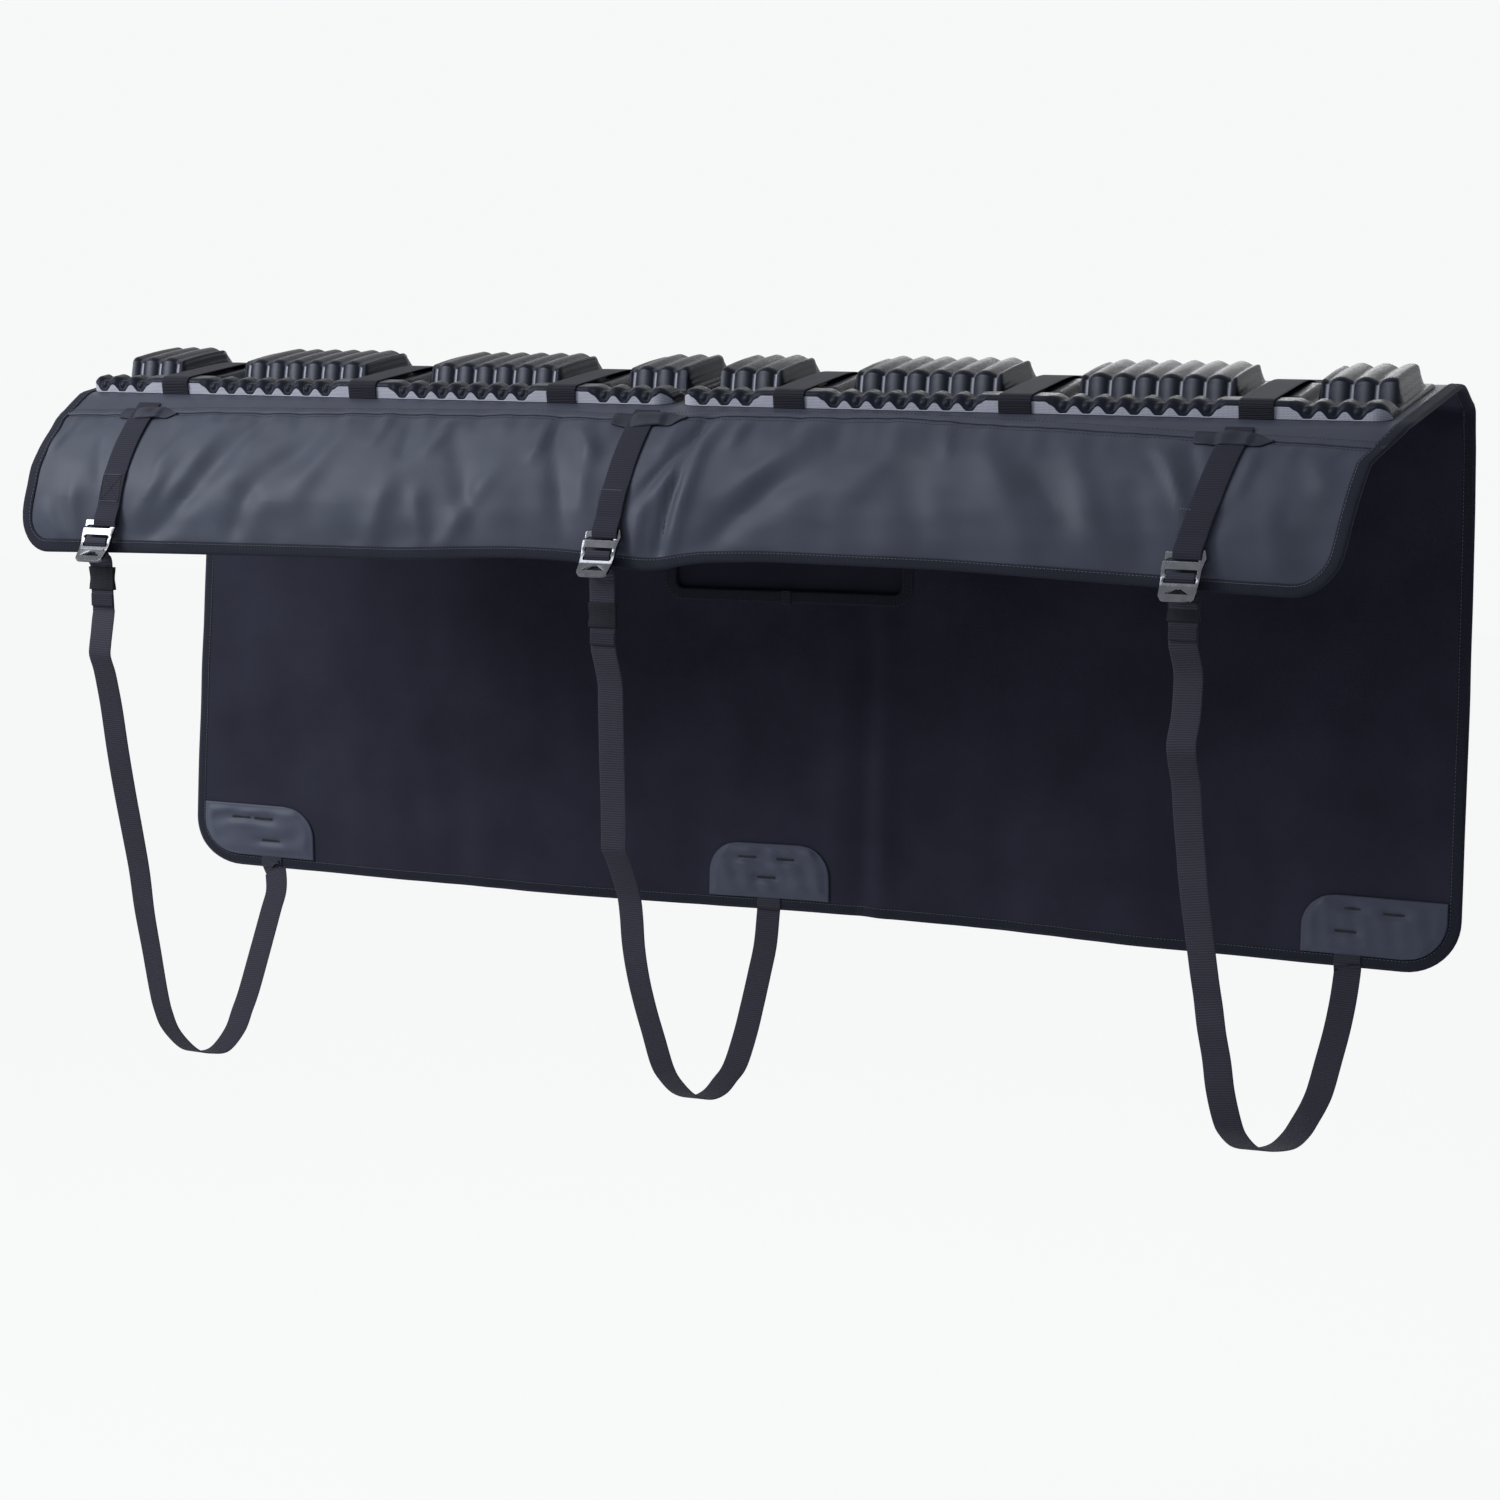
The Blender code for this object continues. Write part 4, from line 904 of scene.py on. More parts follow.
def rail_places(side, columns):
    """Rows of places across the rail, from its front foot over the bar and the blocks to its back foot.

    The last result is 1 on the front wall and marks the pale streaks of the blocks: painted light and painted
    highlights.
    """
    outer = LAST + (1.23 if side > 0 else 0.80)
    along = np.linspace(-RAIL_END, outer, columns)
    wave, apart, none = ridge_wave(along), groove_distance(along), np.zeros(columns)
    from_end = np.minimum(along + RAIL_END, outer - along) * PITCH
    end, corner = rounded(from_end, 0.013), 0.018 * (1 - rounded(from_end, 0.018))
    base = BASE * rounded(from_end, 0.004)
    rise, inside = block_rise(along, side)
    rows, wall_rows = bar_rows(corner, abs(apart), wave, end)
    on_bar = len(rows)
    rows += [(none + depth, base, none) for depth in (0.045, 0.053, 0.061, 0.067)]
    rows += block_rows(apart, wave, rise, inside, base)
    rows += [(none + 0.1960, base, none), (none + 0.1997, base * 0.9, none), (none + 0.2000, none, none)]
    x = side * (RAIL_START + (along + RAIL_END) * PITCH)
    depth, height, painted_light_mark = (np.array([row[k] for row in rows]) for k in range(3))
    push_balls(depth[wall_rows:on_bar], height[wall_rows:on_bar], apart, corner, end)
    bay = sum(1 - smooth(1.10, 1.50, abs(along - middle)) for middle in BAYS) * (1 - rise)
    behind, saddle = depth[on_bar:], height[on_bar:]
    saddle += 0.0095 * bay * smooth(0.040, 0.050, behind) * (1 - smooth(0.135, 0.158, behind))
    return np.broadcast_to(x, depth.shape), depth, np.maximum(height, 0), painted_light_mark


def push_balls(depth, height, apart, corner, end):
    """A ball fills the front of each groove."""
    radius = np.sqrt(np.maximum(0.0062 ** 2 - apart ** 2, 0)) * (end > 0.95)
    d, h = depth - corner - 0.0068, height - 0.0074
    reach = np.hypot(d, h)
    grow = np.where(reach < radius, radius / np.maximum(reach, 1e-5), 1.0)
    depth += d * (grow - 1)
    height += h * (grow - 1)


def make_rail(side, name, replaced):
    """One moulded rail. side is -1 on the left and 1 on the right."""
    columns = 640
    x, depth, height, painted_light_mark = rail_places(side, columns)
    places = lay(x, RAIL_FRONT + depth, OVER + height, cloth=False)
    rows = len(depth)
    girth = np.concatenate((np.zeros((1, columns)), np.cumsum(np.hypot(np.diff(depth, axis=0),
                                                                      np.diff(height, axis=0)), axis=0)))
    uv = np.stack((x, girth), -1).reshape(-1, 2)
    faces = grid_faces(rows, columns)
    last = (rows - 1) * columns
    faces += [(c + 1, c, last + c, last + c + 1) for c in range(columns - 1)]
    faces.append(tuple(r * columns for r in range(rows)))
    faces.append(tuple(r * columns + columns - 1 for r in reversed(range(rows))))
    rail = piece(name, places.reshape(-1, 3), faces, FOAM, uv)
    face_out(rail)
    # The wall attribute carries the painted light: a pale front wall and painted highlight streaks on the
    # blocks.
    mark = rail.data.attributes.new("wall", "FLOAT", "POINT")
    mark.data.foreach_set("value", painted_light_mark.ravel().astype(np.float32))
    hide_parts(replaced)


# Webbing on the rails and the flap

def make_bike_straps():
    """Ribbed bands up the bar's front, over it and down to the rails' back, one in each bay."""
    lift = GAP + WEBBING / 2
    nose = [(0.0065 - (0.0065 + lift) * math.cos(a), 0.0122 + (0.0058 + lift) * math.sin(a))
            for a in np.radians(np.arange(0, 91, 10))]
    arch = [(0.022, 0.018 + lift), (0.040, 0.0178 + lift), (0.070, 0.0174 + lift), (0.100, 0.0170 + lift),
            (0.125, 0.0160 + lift), (0.143, 0.0138 + lift), (0.158, 0.0098 + lift), (0.172, 0.0058 + lift),
            (0.185, 0.0041 + lift), (0.1995, 0.0040 + lift), (0.2008, 0.0034), (0.2010, 0.0002)]
    front = resample([(-lift, 0.0002), (-lift, 0.004), (-lift, 0.008), *nose], 0.0003)
    route = np.vstack((front, resample([nose[-1], *arch], 0.0025)[1:]))
    run = run_along(route)
    ribs = 0.00035 * np.sin(2 * math.pi * run / 0.0018) * (run < 0.0185)
    places = sorted(side * (RAIL_START + (bay + RAIL_END) * PITCH) for side in (-1, 1) for bay in BAYS)
    for number, x in enumerate(places, 1):
        centre = lay(x, RAIL_FRONT + route[:, 0], OVER + route[:, 1], cloth=False)
        across, out = band_axes(centre)
        strap = band("bike_strap_web_%d" % number, centre, across, out, 0.036, WEBBING, RIB_WEB, ribs)
        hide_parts("bike_strap_%d" % number)


# Places of the buckles and of the webbing above and below them
BUCKLE_V = FRONT_HEM + 0.014
BUCKLE_X = (-0.687, -0.0385, 0.602)
BUCKLE_LIFT = (-0.006, 0.005, 0.009)
UPPER_X = (-0.678, -0.0335, 0.6065)
LOWER_X = (-0.680, -0.033, 0.606)
PLATE = 0.003
WRAP = GAP + WEBBING / 2
BOX_HALF = 0.0128
PLATE_BACK = PLATE / 2 + WRAP
STANDING = PLATE_BACK + WEBBING + GAP
PLATE_N = STACK + 0.0014 + STANDING + WEBBING / 2

# Heights on a buckle, from its middle: its windows for the webbing, its open mouth and the hole in its tab
LOW_WINDOW = (-0.0079, -0.0022)
HIGH_WINDOW = (0.0018, 0.0068)
MOUTH = (0.0149, 0.0185)
GRIP = (-0.0215, -0.0142)
PLATE_TOP = 0.0245
PLATE_FOOT = -0.0290
OPENING = 0.0165
GRIP_HALF = 0.0128


def plate_table():
    """Side view of a buckle's plate, from its top to its tab: height, y, z and slope. Its foot leans out."""
    slope = float(np.interp(BUCKLE_V, TABLE[:, 0], TABLE[:, 3]))
    height = np.linspace(0.034, -0.034, 273)
    lean = np.radians(15 + 15 * smooth(0.004, -0.008, height) + 12 * smooth(-0.0105, -0.0135, height))
    step = height[1] - height[0]
    y, z = np.cumsum(np.cos(slope - lean)) * step, np.cumsum(np.sin(slope - lean)) * step
    bar = MOUTH[1]
    start = lay(0.0, BUCKLE_V, PLATE_N, cloth=False)[1:] + bar * np.array((math.cos(slope), math.sin(slope)))
    pivot = np.argmin(abs(height - bar))
    table = np.column_stack((height, y - y[pivot] + start[0], z - z[pivot] + start[1], slope - lean))
    return table[::-1]


PLATE_TABLE = plate_table()


def plate_place(height, out=0.0):
    """y and z of a place on a buckle's plate, or out of it."""
    y, z, slope = (np.interp(height, PLATE_TABLE[:, 0], PLATE_TABLE[:, k]) for k in (1, 2, 3))
    return np.array((y - out * math.sin(slope), z + out * math.cos(slope)))


def webbing_place(height, out):
    """y and z of webbing beside a buckle's plate. Below the low window it hangs straight down."""
    y, z = plate_place(-0.010)
    hung = np.array((y - out + 0.0018, z + height + 0.010))
    share = float(smooth(-0.010, -0.024, height))
    return plate_place(height, out) * (1 - share) + hung * share


def make_upper_straps():
    """Bands from under the seam to the buckles' open bars and back up to a sewn box."""
    single = STACK + 2 * GAP + WEBBING / 2
    double = single + WEBBING + 0.0002
    low, high = BUCKLE_V + MOUTH[1], BUCKLE_V + PLATE_TOP
    front, back = PLATE_N + PLATE_BACK, PLATE_N - PLATE_BACK
    route = [(SEAM + 0.012, single + 0.0004), (SEAM - 0.004, single + 0.0006),
             (SEAM - 0.020, single + 0.0008), (BUCKLE_V + 0.090, single + 0.0003),
             (BUCKLE_V + 0.078, single + 0.0003), (BUCKLE_V + 0.072, double),
             (BUCKLE_V + 0.056, double + 0.0002), (BUCKLE_V + 0.040, double + 0.0006), (high, front),
             (low - 0.0004, front), (low - WRAP, PLATE_N + 0.0012), (low - WRAP, PLATE_N - 0.0012),
             (low - 0.0004, back), (high, back), (BUCKLE_V + 0.038, single + 0.0002),
             (BUCKLE_V + 0.055, single), (BUCKLE_V + 0.070, single)]
    v, n = rounded_route(route, 0.0012, 0.0011).T
    foot, head = BUCKLE_V + 0.0415, BUCKLE_V + 0.0705
    top = double + 0.0010
    for side, seam_x, strap_x, lift in zip(SIDES, SEAM_X, UPPER_X, BUCKLE_LIFT):
        share = np.clip((v - BUCKLE_V - 0.026) / (SEAM - BUCKLE_V - 0.026), 0, 1)
        x = strap_x + (seam_x - strap_x) * share
        centre = lay(x, v, n, cloth=False)
        centre = centre + (lay(x, v, n) - centre) * smooth(BUCKLE_V + 0.03, BUCKLE_V + 0.10, v)[:, None]
        centre[:, 2] += lift * smooth(BUCKLE_V + 0.09, BUCKLE_V + 0.03, v)
        across, out = band_axes(centre, square=False)
        if (out[2] * (0, -1, 1)).sum() < 0:
            out = -out
        strap = band("upper_web_" + side, centre, across, out, STRAP, WEBBING, WEB)
        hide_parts("upper_strap_" + side)
        half = BOX_HALF
        box = [[(strap_x - half, at, top), (strap_x + half, at, top)] for at in (foot, head)]
        stitches("box_stitching_" + side, box, BOX_STITCH, GREY_THREAD)
        cross = []
        for s in (-1, 1):
            cross.append([(strap_x + s * half, foot, top), (strap_x + s * half, head, top - 0.0001)])
            cross.append([(strap_x + s * 0.0120, foot + 0.0010, top),
                          (strap_x - s * 0.0120, head - 0.0010, top - 0.0001)])
        stitches("cross_stitching_" + side, cross, CROSS_STITCH, BLACK_THREAD)


KEEPER_X = (SEAM_X[0] + 0.009, SEAM_X[1] + 0.008, SEAM_X[2])
KEEPER_V = SEAM - 0.004
KEEPER_HALF = 0.044


def make_keepers():
    """Folded cloth tabs over the front bands, blunt on the left and folded to a point on the right."""
    for k, (side, seam_x) in enumerate(zip(SIDES, KEEPER_X)):
        s, t = np.meshgrid(np.linspace(0, 1, 15), np.linspace(-1, 1, 61), indexing="ij")
        half = 0.0075
        point = smooth(0.45, 1.0, t)
        blunt = rounded((t + 1) * KEEPER_HALF, 0.008)
        top = half * (0.55 + 0.45 * blunt) * (1 - 0.95 * point) + 0.0015 * (1 - point)
        bottom = (-half * (0.80 + 0.20 * blunt) * (1 - 0.70 * smooth(0.62, 1.0, t))
                  - 0.0015 * bump(t, -0.2, 0.5))
        v = KEEPER_V + bottom + (top - bottom) * s + 0.0007 * np.sin(t * 5 + k)
        x = seam_x + t * KEEPER_HALF
        over = 1 - smooth(0.30, 0.52, abs(t))
        lift = 0.0007 + 0.0021 * over + 0.0012 * np.sin(math.pi * s) * (0.4 + over)
        lift += 0.0008 * ripples(x, v, 40 + k, 0.03, 5) * over
        lift *= rounded(np.minimum(s, 1 - s) * 0.02 + 0.0012, 0.003)
        lift = np.maximum(lift, 0.0006) + STACK
        tab = layered("keeper_cloth_" + side, x, v, lift + 0.0013, lift, KEEPER_CLOTH)
        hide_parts("strap_keeper_" + side)
        seams = [[(seam_x + end, KEEPER_V - span, STACK + 0.0024),
                  (seam_x + end + 0.003, KEEPER_V + span, STACK + 0.0024)]
                 for end, span in ((-0.040, 0.0060), (0.0235, 0.0050))]
        seams.append([(seam_x - 0.040, SEAM - 0.0100, STACK + 0.0022),
                      (seam_x + 0.030, SEAM - 0.0105, STACK + 0.0022)])
        stitches("keeper_stitching_" + side, seams, KEEPER_STITCH, BLACK_THREAD)


# The hanging straps, in millimetres, from below their tails to the rear hem
HANGING = (
    ((-676, -208, -254), (-676, -212, -276), (-676, -217, -299), (-676, -216, -307), (-676, -209, -323),
     (-677, -201, -347), (-678, -194, -371), (-680, -182, -420), (-683, -167, -469), (-684, -153, -519),
     (-686, -138, -570), (-688, -127, -620), (-690, -112, -672), (-693, -96, -724), (-694, -86, -751),
     (-695, -69, -779), (-696, -33, -810), (-696, -2, -822), (-697, 35, -827), (-697, 69, -810),
     (-698, 88, -788), (-698, 104, -766), (-699, 132, -720), (-700, 160, -673), (-700, 173, -649),
     (-700, 187, -628)),
    ((-31, -206, -259), (-30, -193, -300), (-30, -191, -325), (-30, -189, -376), (-29, -188, -426),
     (-28, -189, -464), (-28, -189, -483), (-27, -186, -489), (-27, -176, -503), (-26, -158, -537),
     (-25, -153, -562), (-25, -148, -596), (-23, -141, -631), (-22, -126, -668), (-21, -107, -706),
     (-20, -87, -745), (-19, -68, -766), (-18, -36, -789), (-18, 5, -804), (-17, 42, -806), (-17, 71, -798),
     (-16, 97, -786), (-15, 122, -755), (-14, 140, -723), (-14, 159, -690), (-13, 174, -657),
     (-13, 182, -622), (-13, 184, -608)),
    ((609, -198, -221), (609, -193, -253), (610, -196, -276), (611, -204, -298), (612, -219, -318),
     (613, -222, -329), (614, -217, -346), (616, -213, -364), (619, -213, -399), (623, -214, -432),
     (628, -218, -466), (640, -218, -545), (644, -214, -576), (649, -216, -605), (654, -213, -635),
     (658, -211, -666), (663, -202, -698), (665, -185, -717), (667, -144, -740), (670, -91, -756),
     (672, -21, -770), (674, 26, -769), (676, 58, -760), (678, 83, -750), (680, 101, -737),
     (682, 126, -709), (684, 149, -681), (685, 169, -651), (686, 180, -620), (686, 181, -611)),
)
KEEPER_LENGTH = 0.026


def hanging_loop(start, end, k):
    """Slack webbing from below the buckle to the rear hem."""
    route = np.array(HANGING[k]) / 1000
    route = route[route[:, 2] < start[2] - 0.010]
    route[-1] = (2 * end + route[-1]) / 3
    return resample(np.vstack((start, route, end)), 0.0045)[1:]


def make_lower_straps():
    """Bands threaded through both windows, doubled in an elastic ring, and slack to the rear hem."""
    for k, (side, x, anchor, keeper) in enumerate(zip(SIDES, LOWER_X, ANCHOR_X, KEEPER_TOP)):
        tail = keeper - KEEPER_LENGTH - 0.019
        lift = np.array((0, BUCKLE_LIFT[k]))
        (low0, low1), up0 = LOW_WINDOW, HIGH_WINDOW[0]
        cut = WRAP * 0.414
        threading = [(tail, -PLATE_BACK), (low0 - 0.006, -PLATE_BACK), (low0 + cut, -PLATE_BACK),
                     (low0 + WRAP, -PLATE / 2 - cut), (low1 - WRAP, PLATE / 2 + cut),
                     (low1 - cut, PLATE_BACK), (up0 + cut, PLATE_BACK), (up0 + WRAP, PLATE / 2 + cut),
                     (up0 + WRAP, -PLATE_BACK), (up0 - WRAP, -STANDING), (low0 - 0.004, -STANDING)]
        threading = rounded_route(threading, 0.0010, 0.0009)
        head = np.array([webbing_place(h, o) + lift for h, o in threading])
        start = webbing_place(tail - 0.006, -STANDING) + lift
        head = np.vstack((head, np.linspace(head[-1], start, 24)[1:]))
        drop = head[:, 1] - lift[1] - plate_place(0.0)[1]
        head = np.column_stack((x + (BUCKLE_X[k] - x) * smooth(-0.026, -0.010, drop), head))
        hem = lay(anchor, REAR_HEM + 0.0011, -WRAP)
        tuck = np.linspace(hem, lay(anchor, REAR_HEM - 0.040, -WRAP), 12)[1:]
        loop = hanging_loop(head[-1], hem, k)
        centre = np.vstack((head, loop, tuck))
        share = np.clip((np.arange(len(centre)) - len(head)) / len(loop), 0, 1)
        turn = 0.12 * np.sin(share * math.pi) * np.sin(share * 9 + k)
        across, out = band_axes(centre, np.column_stack((np.cos(turn), np.sin(turn), np.zeros(len(turn)))))
        strap = band("lower_web_" + side, centre, across, -out, STRAP, WEBBING, LOOP_WEB)
        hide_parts("lower_strap_" + side)
        make_tail_keeper(side, x, keeper, BUCKLE_LIFT[k])
        heights = np.linspace(tail + 0.014, tail, 12)
        fold = np.array([(x, *webbing_place(h, -PLATE_BACK + 0.0012) + lift) for h in heights])
        across, out = band_axes(fold, square=False)
        band("tail_hem_" + side, fold, across, -out, STRAP - 0.0006, 0.0011, WEB)


def make_tail_keeper(side, x, top, lift):
    """An elastic ring round both layers of a lower strap."""
    half, low, high = STRAP / 2 + 0.0004, -STANDING - WEBBING / 2 - GAP, -PLATE_BACK + WEBBING / 2 + GAP
    section = [(cx, cy, math.cos(a), math.sin(a))
               for cx, cy, start in ((half, high, 0), (-half, high, 90), (-half, low, 180), (half, low, 270))
               for a in np.radians((start, start + 45, start + 90))]
    rows, count = 24, len(section)
    places, uv = [], []
    for thick in (0.0010, 0.0):
        for r in range(rows):
            share = r / (rows - 1)
            pinch = 0.0006 * math.cos(share * math.pi * 2)
            for c, (cx, cy, ux, uy) in enumerate(section):
                grow = thick + (pinch if thick else 0)
                y, z = webbing_place(top - KEEPER_LENGTH * share, cy + uy * grow)
                places.append((x + cx + ux * grow, y, z + lift))
                uv.append((KEEPER_LENGTH * share, c * 0.006))
    layer = rows * count
    outer = tube_faces(rows, count)
    faces = outer + [tuple(layer + place for place in reversed(face)) for face in outer]
    for start in (0, layer - count):
        faces += [(start + c, start + c + layer, start + (c + 1) % count + layer, start + (c + 1) % count)
                  for c in range(count)]
    ring = piece("tail_ring_" + side, places, faces, ELASTIC, np.array(uv))
    face_out(ring)
    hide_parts("tail_keeper_" + side)


# Hook buckles

SIDE_HEIGHTS = (PLATE_FOOT, -0.008, HIGH_WINDOW[1], *MOUTH)
RIGHT_SIDE = (0.0178, 0.0195, 0.0203, 0.0225, 0.0240)
LEFT_SIDE = (0.0178, 0.0195, 0.0203, 0.0200, 0.0180)


def make_buckle(side, x, lift):
    """Cut from one plate: a finger open on the left, a frame with a middle bar, and a bent finger tab."""
    columns = [-0.0210, -OPENING, -GRIP_HALF, GRIP_HALF, OPENING, 0.0210]
    rows = [PLATE_FOOT, *GRIP, -0.0120, *LOW_WINDOW, *HIGH_WINDOW, *MOUTH, PLATE_TOP]
    bpy.ops.object.select_all(action="DESELECT")
    bpy.ops.mesh.primitive_grid_add(x_subdivisions=len(columns) - 1, y_subdivisions=len(rows) - 1, size=2)
    buckle = bpy.context.object
    buckle.name = "buckle_" + side
    mesh = buckle.data
    for axis, marks in ((0, columns), (1, rows)):
        known = sorted({round(vert.co[axis], 4) for vert in mesh.vertices})
        for vert, at in zip(mesh.vertices, [known.index(round(vert.co[axis], 4)) for vert in mesh.vertices]):
            vert.co[axis] = marks[at]
    bm = bmesh.new()
    bm.from_mesh(mesh)
    bmesh.ops.delete(bm, geom=[face for face in bm.faces if cut_away(face)], context="FACES")
    for vert in bm.verts:
        shape_plate(vert)
    round_corners(bm)
    for height in np.arange(-0.0285, 0.0265, 0.0010):
        bmesh.ops.bisect_plane(bm, geom=bm.verts[:] + bm.edges[:] + bm.faces[:], plane_co=(0, height, 0),
                               plane_no=(0, 1, 0), dist=1e-6)
    bm.to_mesh(mesh)
    bm.free()
    for kind, settings in (("SOLIDIFY", {"thickness": PLATE, "offset": 0.0}),
                           ("BEVEL", {"width": 0.0009, "segments": 3, "limit_method": "ANGLE",
                                      "angle_limit": math.radians(50)})):
        modifier = buckle.modifiers.new(kind.lower(), kind)
        for key, value in settings.items():
            setattr(modifier, key, value)
        bpy.ops.object.modifier_apply(modifier=modifier.name)
    for vert in mesh.vertices:
        y, z = plate_place(vert.co.y, vert.co.z)
        vert.co = (x + vert.co.x, y, z + lift)
    for polygon in mesh.polygons:
        polygon.use_smooth = True
    mesh.set_sharp_from_angle(angle=math.radians(35))
    mesh.materials.append(METAL)
    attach(buckle, "root")
    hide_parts("hook_buckle_" + side)


def cut_away(face):
    """Whether a face of the plate lies in a window, in the open mouth or in the tab's hole."""
    x, y = face.calc_center_median()[:2]
    window = abs(x) < OPENING and (LOW_WINDOW[0] < y < LOW_WINDOW[1] or HIGH_WINDOW[0] < y < HIGH_WINDOW[1])
    mouth = x < OPENING and MOUTH[0] < y < MOUTH[1]
    return window or mouth or (abs(x) < GRIP_HALF and GRIP[0] < y < GRIP[1])


def shape_plate(vert):
    """Moves a corner of the plain plate to the hook's outline."""
    x, y = vert.co.x, vert.co.y
    outer, arm = abs(x) > 0.02, abs(x) > 0.016
    if outer:
        half = np.interp(y, SIDE_HEIGHTS, RIGHT_SIDE if x > 0 else LEFT_SIDE)
        vert.co.x = math.copysign(float(half), x)
    if arm and x > 0 and y > 0.024:
        vert.co.y += 0.0035 if outer else 0.0025
        vert.co.x -= 0.0020 if outer else 0.0
    if arm and x < 0 and abs(y - MOUTH[1]) < 1e-4:
        vert.co.y -= 0.0022
    if arm and y < -0.0285:
        vert.co.y = -0.0255 if outer else -0.0283
        vert.co.x -= 0.0 if outer else math.copysign(0.0012, x)
    if abs(x) < 0.013 and abs(y - GRIP[1]) < 1e-4:
        vert.co.x *= 0.16


def round_corners(bm):
    """Rounds the plate's outer corners and the corners of its openings."""
    for radius, test in ((0.0016, lambda c: c.y < -0.025), (0.0024, lambda c: c.y > 0.0260 and c.x > 0.016),
                         (0.0012, lambda c: c.x < -0.016 and c.y > 0.0145),
                         (0.0012, lambda c: abs(c.x) < 0.0168 and c.y < 0.0190)):
        corners = [vert for vert in bm.verts if vert.is_boundary and test(vert.co) and is_corner(vert)]
        if corners:
            bmesh.ops.bevel(bm, geom=corners, offset=radius, segments=4, profile=0.5, affect="VERTICES")


def is_corner(vert):
    """Whether just two free edges meet at a vertex, and turn there."""
    edges = [edge for edge in vert.link_edges if edge.is_boundary]
    ways = [(edge.other_vert(vert).co - vert.co).normalized().x for edge in edges]
    return len(edges) == 2 and abs(sum(ways)) > 0.3


# Anchor patches

# Middles of the bar tacks, from the strap and from the patch's top edge
TACKS = (((-0.038, 0.017), (-0.010, 0.017), (0.000, 0.045)),
         ((-0.028, 0.017), (0.022, 0.018), (-0.003, 0.041)),
         ((0.006, 0.014), (0.048, 0.017), (-0.003, 0.040)))
TACK_HALF = 0.0115


def make_patches():
    """Padded patches inside the rear hem, quilted down by the bar tacks that hold the straps."""
    inset = TAPE_WIDTH + GAP
    bottom, top = REAR_HEM - inset, REAR_HEM - inset - 0.066
    edge, foot = HALF - inset, CORNER - inset
    spans = ((-edge, -edge + 0.140), (ANCHOR_X[1] - 0.078, ANCHOR_X[1] + 0.078), (edge - 0.155, edge))
    for k, (side, anchor, (x0, x1)) in enumerate(zip(SIDES, ANCHOR_X, spans)):
        t, s = np.meshgrid(np.linspace(0, 1, 34), np.linspace(-1, 1, 66), indexing="ij")
        v = top + (bottom - top) * t
        radius = 0.038
        rounding = radius * (1 - rounded((v - top), radius))
        low_rounding = foot * (1 - rounded(bottom - v, foot))
        left = x0 + (low_rounding if k == 0 else rounding)
        right = x1 - (low_rounding if k == 2 else rounding)
        x = (left + right) / 2 + s * (right - left) / 2
        rim = np.minimum(np.minimum(x - left, right - x), np.minimum(v - top, bottom - v))
        puff = 0.0034 * smooth(0, 0.012, rim)
        puff += 0.0011 * ripples(x, v, 60 + k, 0.032, 8) * smooth(0.002, 0.012, rim)
        tacks = [(anchor + dx, top + dv) for dx, dv in TACKS[k]]
        for cx, cv in tacks:
            puff -= 0.0036 * np.exp(-(((x - cx) / 0.016) ** 4 + ((v - cv) / 0.005) ** 2))
            puff += 0.0014 * np.exp(-(((x - cx) / 0.020) ** 2 + ((v - cv - 0.010) / 0.006) ** 2))
        depth = np.maximum(puff, GAP) * 0.85 + 0.0019
        patch = layered("patch_cloth_" + side, x, v, -depth, -GAP, PATCH_CLOTH)
        face_out(patch)
        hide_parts("anchor_patch_" + side)
        rows = [[(cx - TACK_HALF, cv + row, -0.0030), (cx + TACK_HALF, cv + row, -0.0030)]
                for cx, cv in tacks for row in (-0.0007, 0.0007)]
        stitches("bar_tacks_" + side, rows, BAR_TACK, BLACK_THREAD)


flap, cover, lining = make_panels()
edge_pieces = make_edge_binding()
window_cover, window_pieces = make_window()
seam_stitching = make_seams()
make_rail(-1, "rail_foam_left", "foam_rail_left")
make_rail(1, "rail_foam_right", "foam_rail_right")
make_bike_straps()
make_upper_straps()
make_keepers()
make_lower_straps()
for buckle in zip(SIDES, BUCKLE_X, BUCKLE_LIFT):
    make_buckle(*buckle)
make_patches()


# Camera, light and floor

def make_camera():
    """The photograph's view."""
    turn, pitch, roll = 0.43228, 0.15017, 0.00427
    right = Vector((math.cos(turn), math.sin(turn), 0))
    level, upright = Vector((-math.sin(turn), math.cos(turn), 0)), Vector((0, 0, 1))
    ahead = level * math.cos(pitch) - upright * math.sin(pitch)
    up = level * math.sin(pitch) + upright * math.cos(pitch)
    right, up = (right * math.cos(roll) + up * math.sin(roll), up * math.cos(roll) - right * math.sin(roll))
    data = bpy.data.cameras.new("photo_view")
    camera = bpy.data.objects.new("photo_view", data)
    bpy.context.scene.collection.objects.link(camera)
    data.sensor_width, data.lens = 36.0, 75.18
    data.clip_start, data.clip_end = 0.05, 60.0
    camera.matrix_world = Matrix((right, up, -ahead)).transposed().to_4x4()
    camera.location = (1.49807, -3.14662, 0.12969)
    bpy.context.scene.camera = camera


def shown(tree):
    """1 for what the camera sees itself, or in a reflection or through glass."""
    rays = tree.nodes.new("ShaderNodeLightPath")
    seen = maths(tree, "MAXIMUM", rays.outputs["Is Camera Ray"], rays.outputs["Is Glossy Ray"])
    return maths(tree, "MAXIMUM", seen, rays.outputs["Is Transmission Ray"])


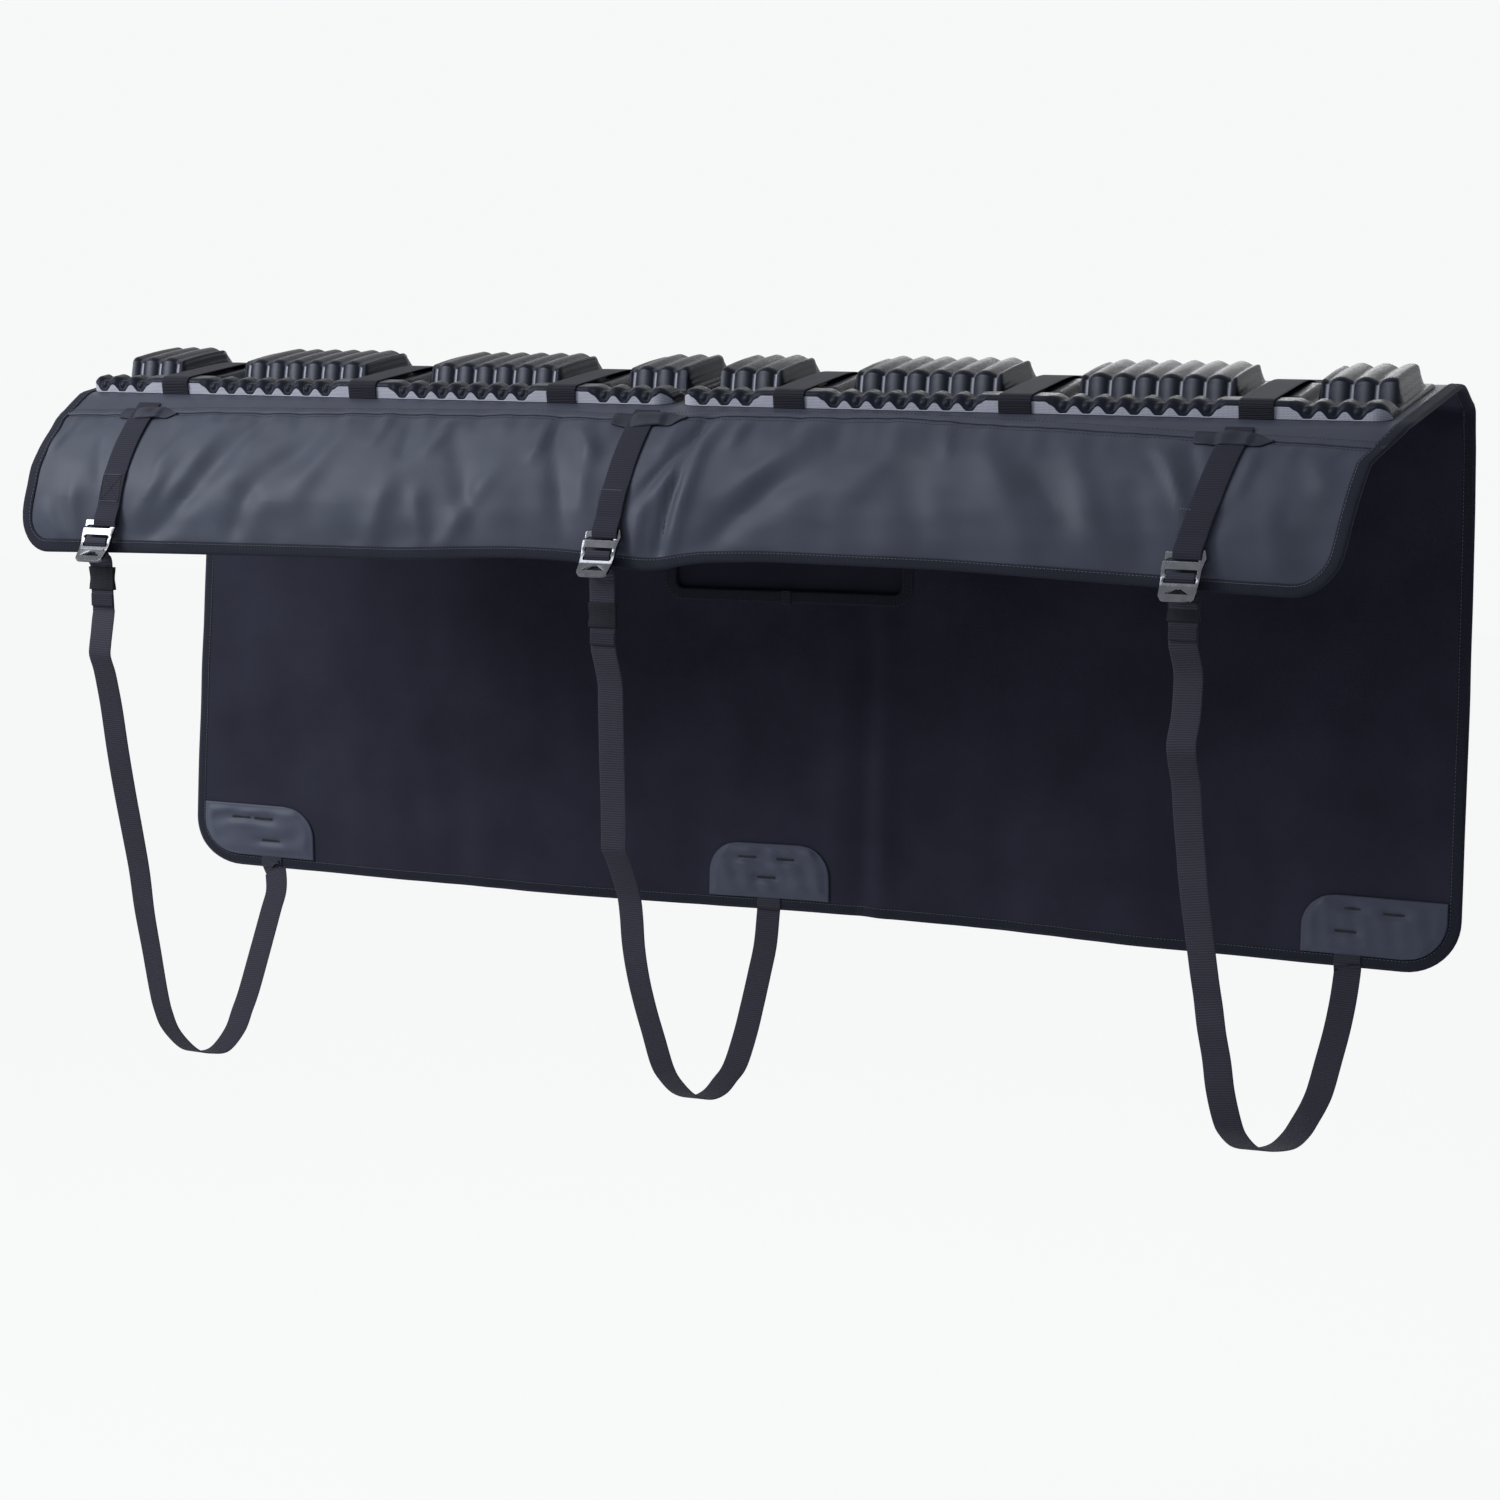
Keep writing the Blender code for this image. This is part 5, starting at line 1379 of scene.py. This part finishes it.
def mixed(tree, fac, first, second, output):
    """Sends a mix of two shaders to the tree's output."""
    mix = tree.nodes.new("ShaderNodeMixShader")
    for socket, value in zip(mix.inputs, (fac, first.outputs[0], second.outputs[0])):
        tree.links.new(value, socket)
    tree.links.new(mix.outputs[0], tree.nodes[output].inputs["Surface"])


def paper(name, colour):
    """Plain floor that shows the background's colour to the camera and in reflections, and keeps a shadow."""
    made, tree, bsdf = shader(name, colour, 0.9)
    seen = tree.nodes.new("ShaderNodeEmission")
    seen.inputs["Color"].default_value = (*colour, 1)
    seen.inputs["Strength"].default_value = 1.05
    mixed(tree, maths(tree, "MULTIPLY", shown(tree), 0.92), bsdf, seen, "Material Output")
    return made


BACKGROUND = (0.930, 0.939, 0.939)


def make_floor():
    """A wide floor well below the pad."""
    bpy.ops.object.select_all(action="DESELECT")
    bpy.ops.mesh.primitive_plane_add(size=30, location=(0, 0, -1.9))
    floor = bpy.context.object
    floor.name = "floor"
    floor.data.materials.append(paper("floor_paper", BACKGROUND))


def make_light():
    """A dim bluish surround and three soft lamps, behind a white background."""
    world = bpy.data.worlds.new("studio")
    bpy.context.scene.world = world
    world.use_nodes = True
    tree = world.node_tree
    background = tree.nodes["Background"]
    background.inputs["Color"].default_value = (0.85, 0.91, 1.0, 1)
    background.inputs["Strength"].default_value = 0.30
    seen = tree.nodes.new("ShaderNodeBackground")
    seen.inputs["Color"].default_value = (*BACKGROUND, 1)
    mixed(tree, shown(tree), background, seen, "World Output")
    for name, place, target, size, energy in (
            ("key", (-2.5, -1.9, 1.1), (-0.5, 0.0, -0.3), (1.1, 1.1), 66),
            ("strip", (-1.80, -2.0, 2.85), (-0.2, 0.0, -0.2), (2.8, 0.7), 56),
            ("rear", (-0.6, 4.0, 1.2), (0.4, 0.0, 0.0), (1.6, 0.6), 10)):
        data = bpy.data.lights.new(name, "AREA")
        data.shape, data.energy = "RECTANGLE", energy
        data.size, data.size_y = size
        lamp = bpy.data.objects.new(name, data)
        bpy.context.scene.collection.objects.link(lamp)
        lamp.location = place
        lamp.rotation_euler = (Vector(target) - Vector(place)).to_track_quat("-Z", "Y").to_euler()


make_camera()
make_floor()
make_light()
bpy.context.scene.view_settings.view_transform = "Standard"
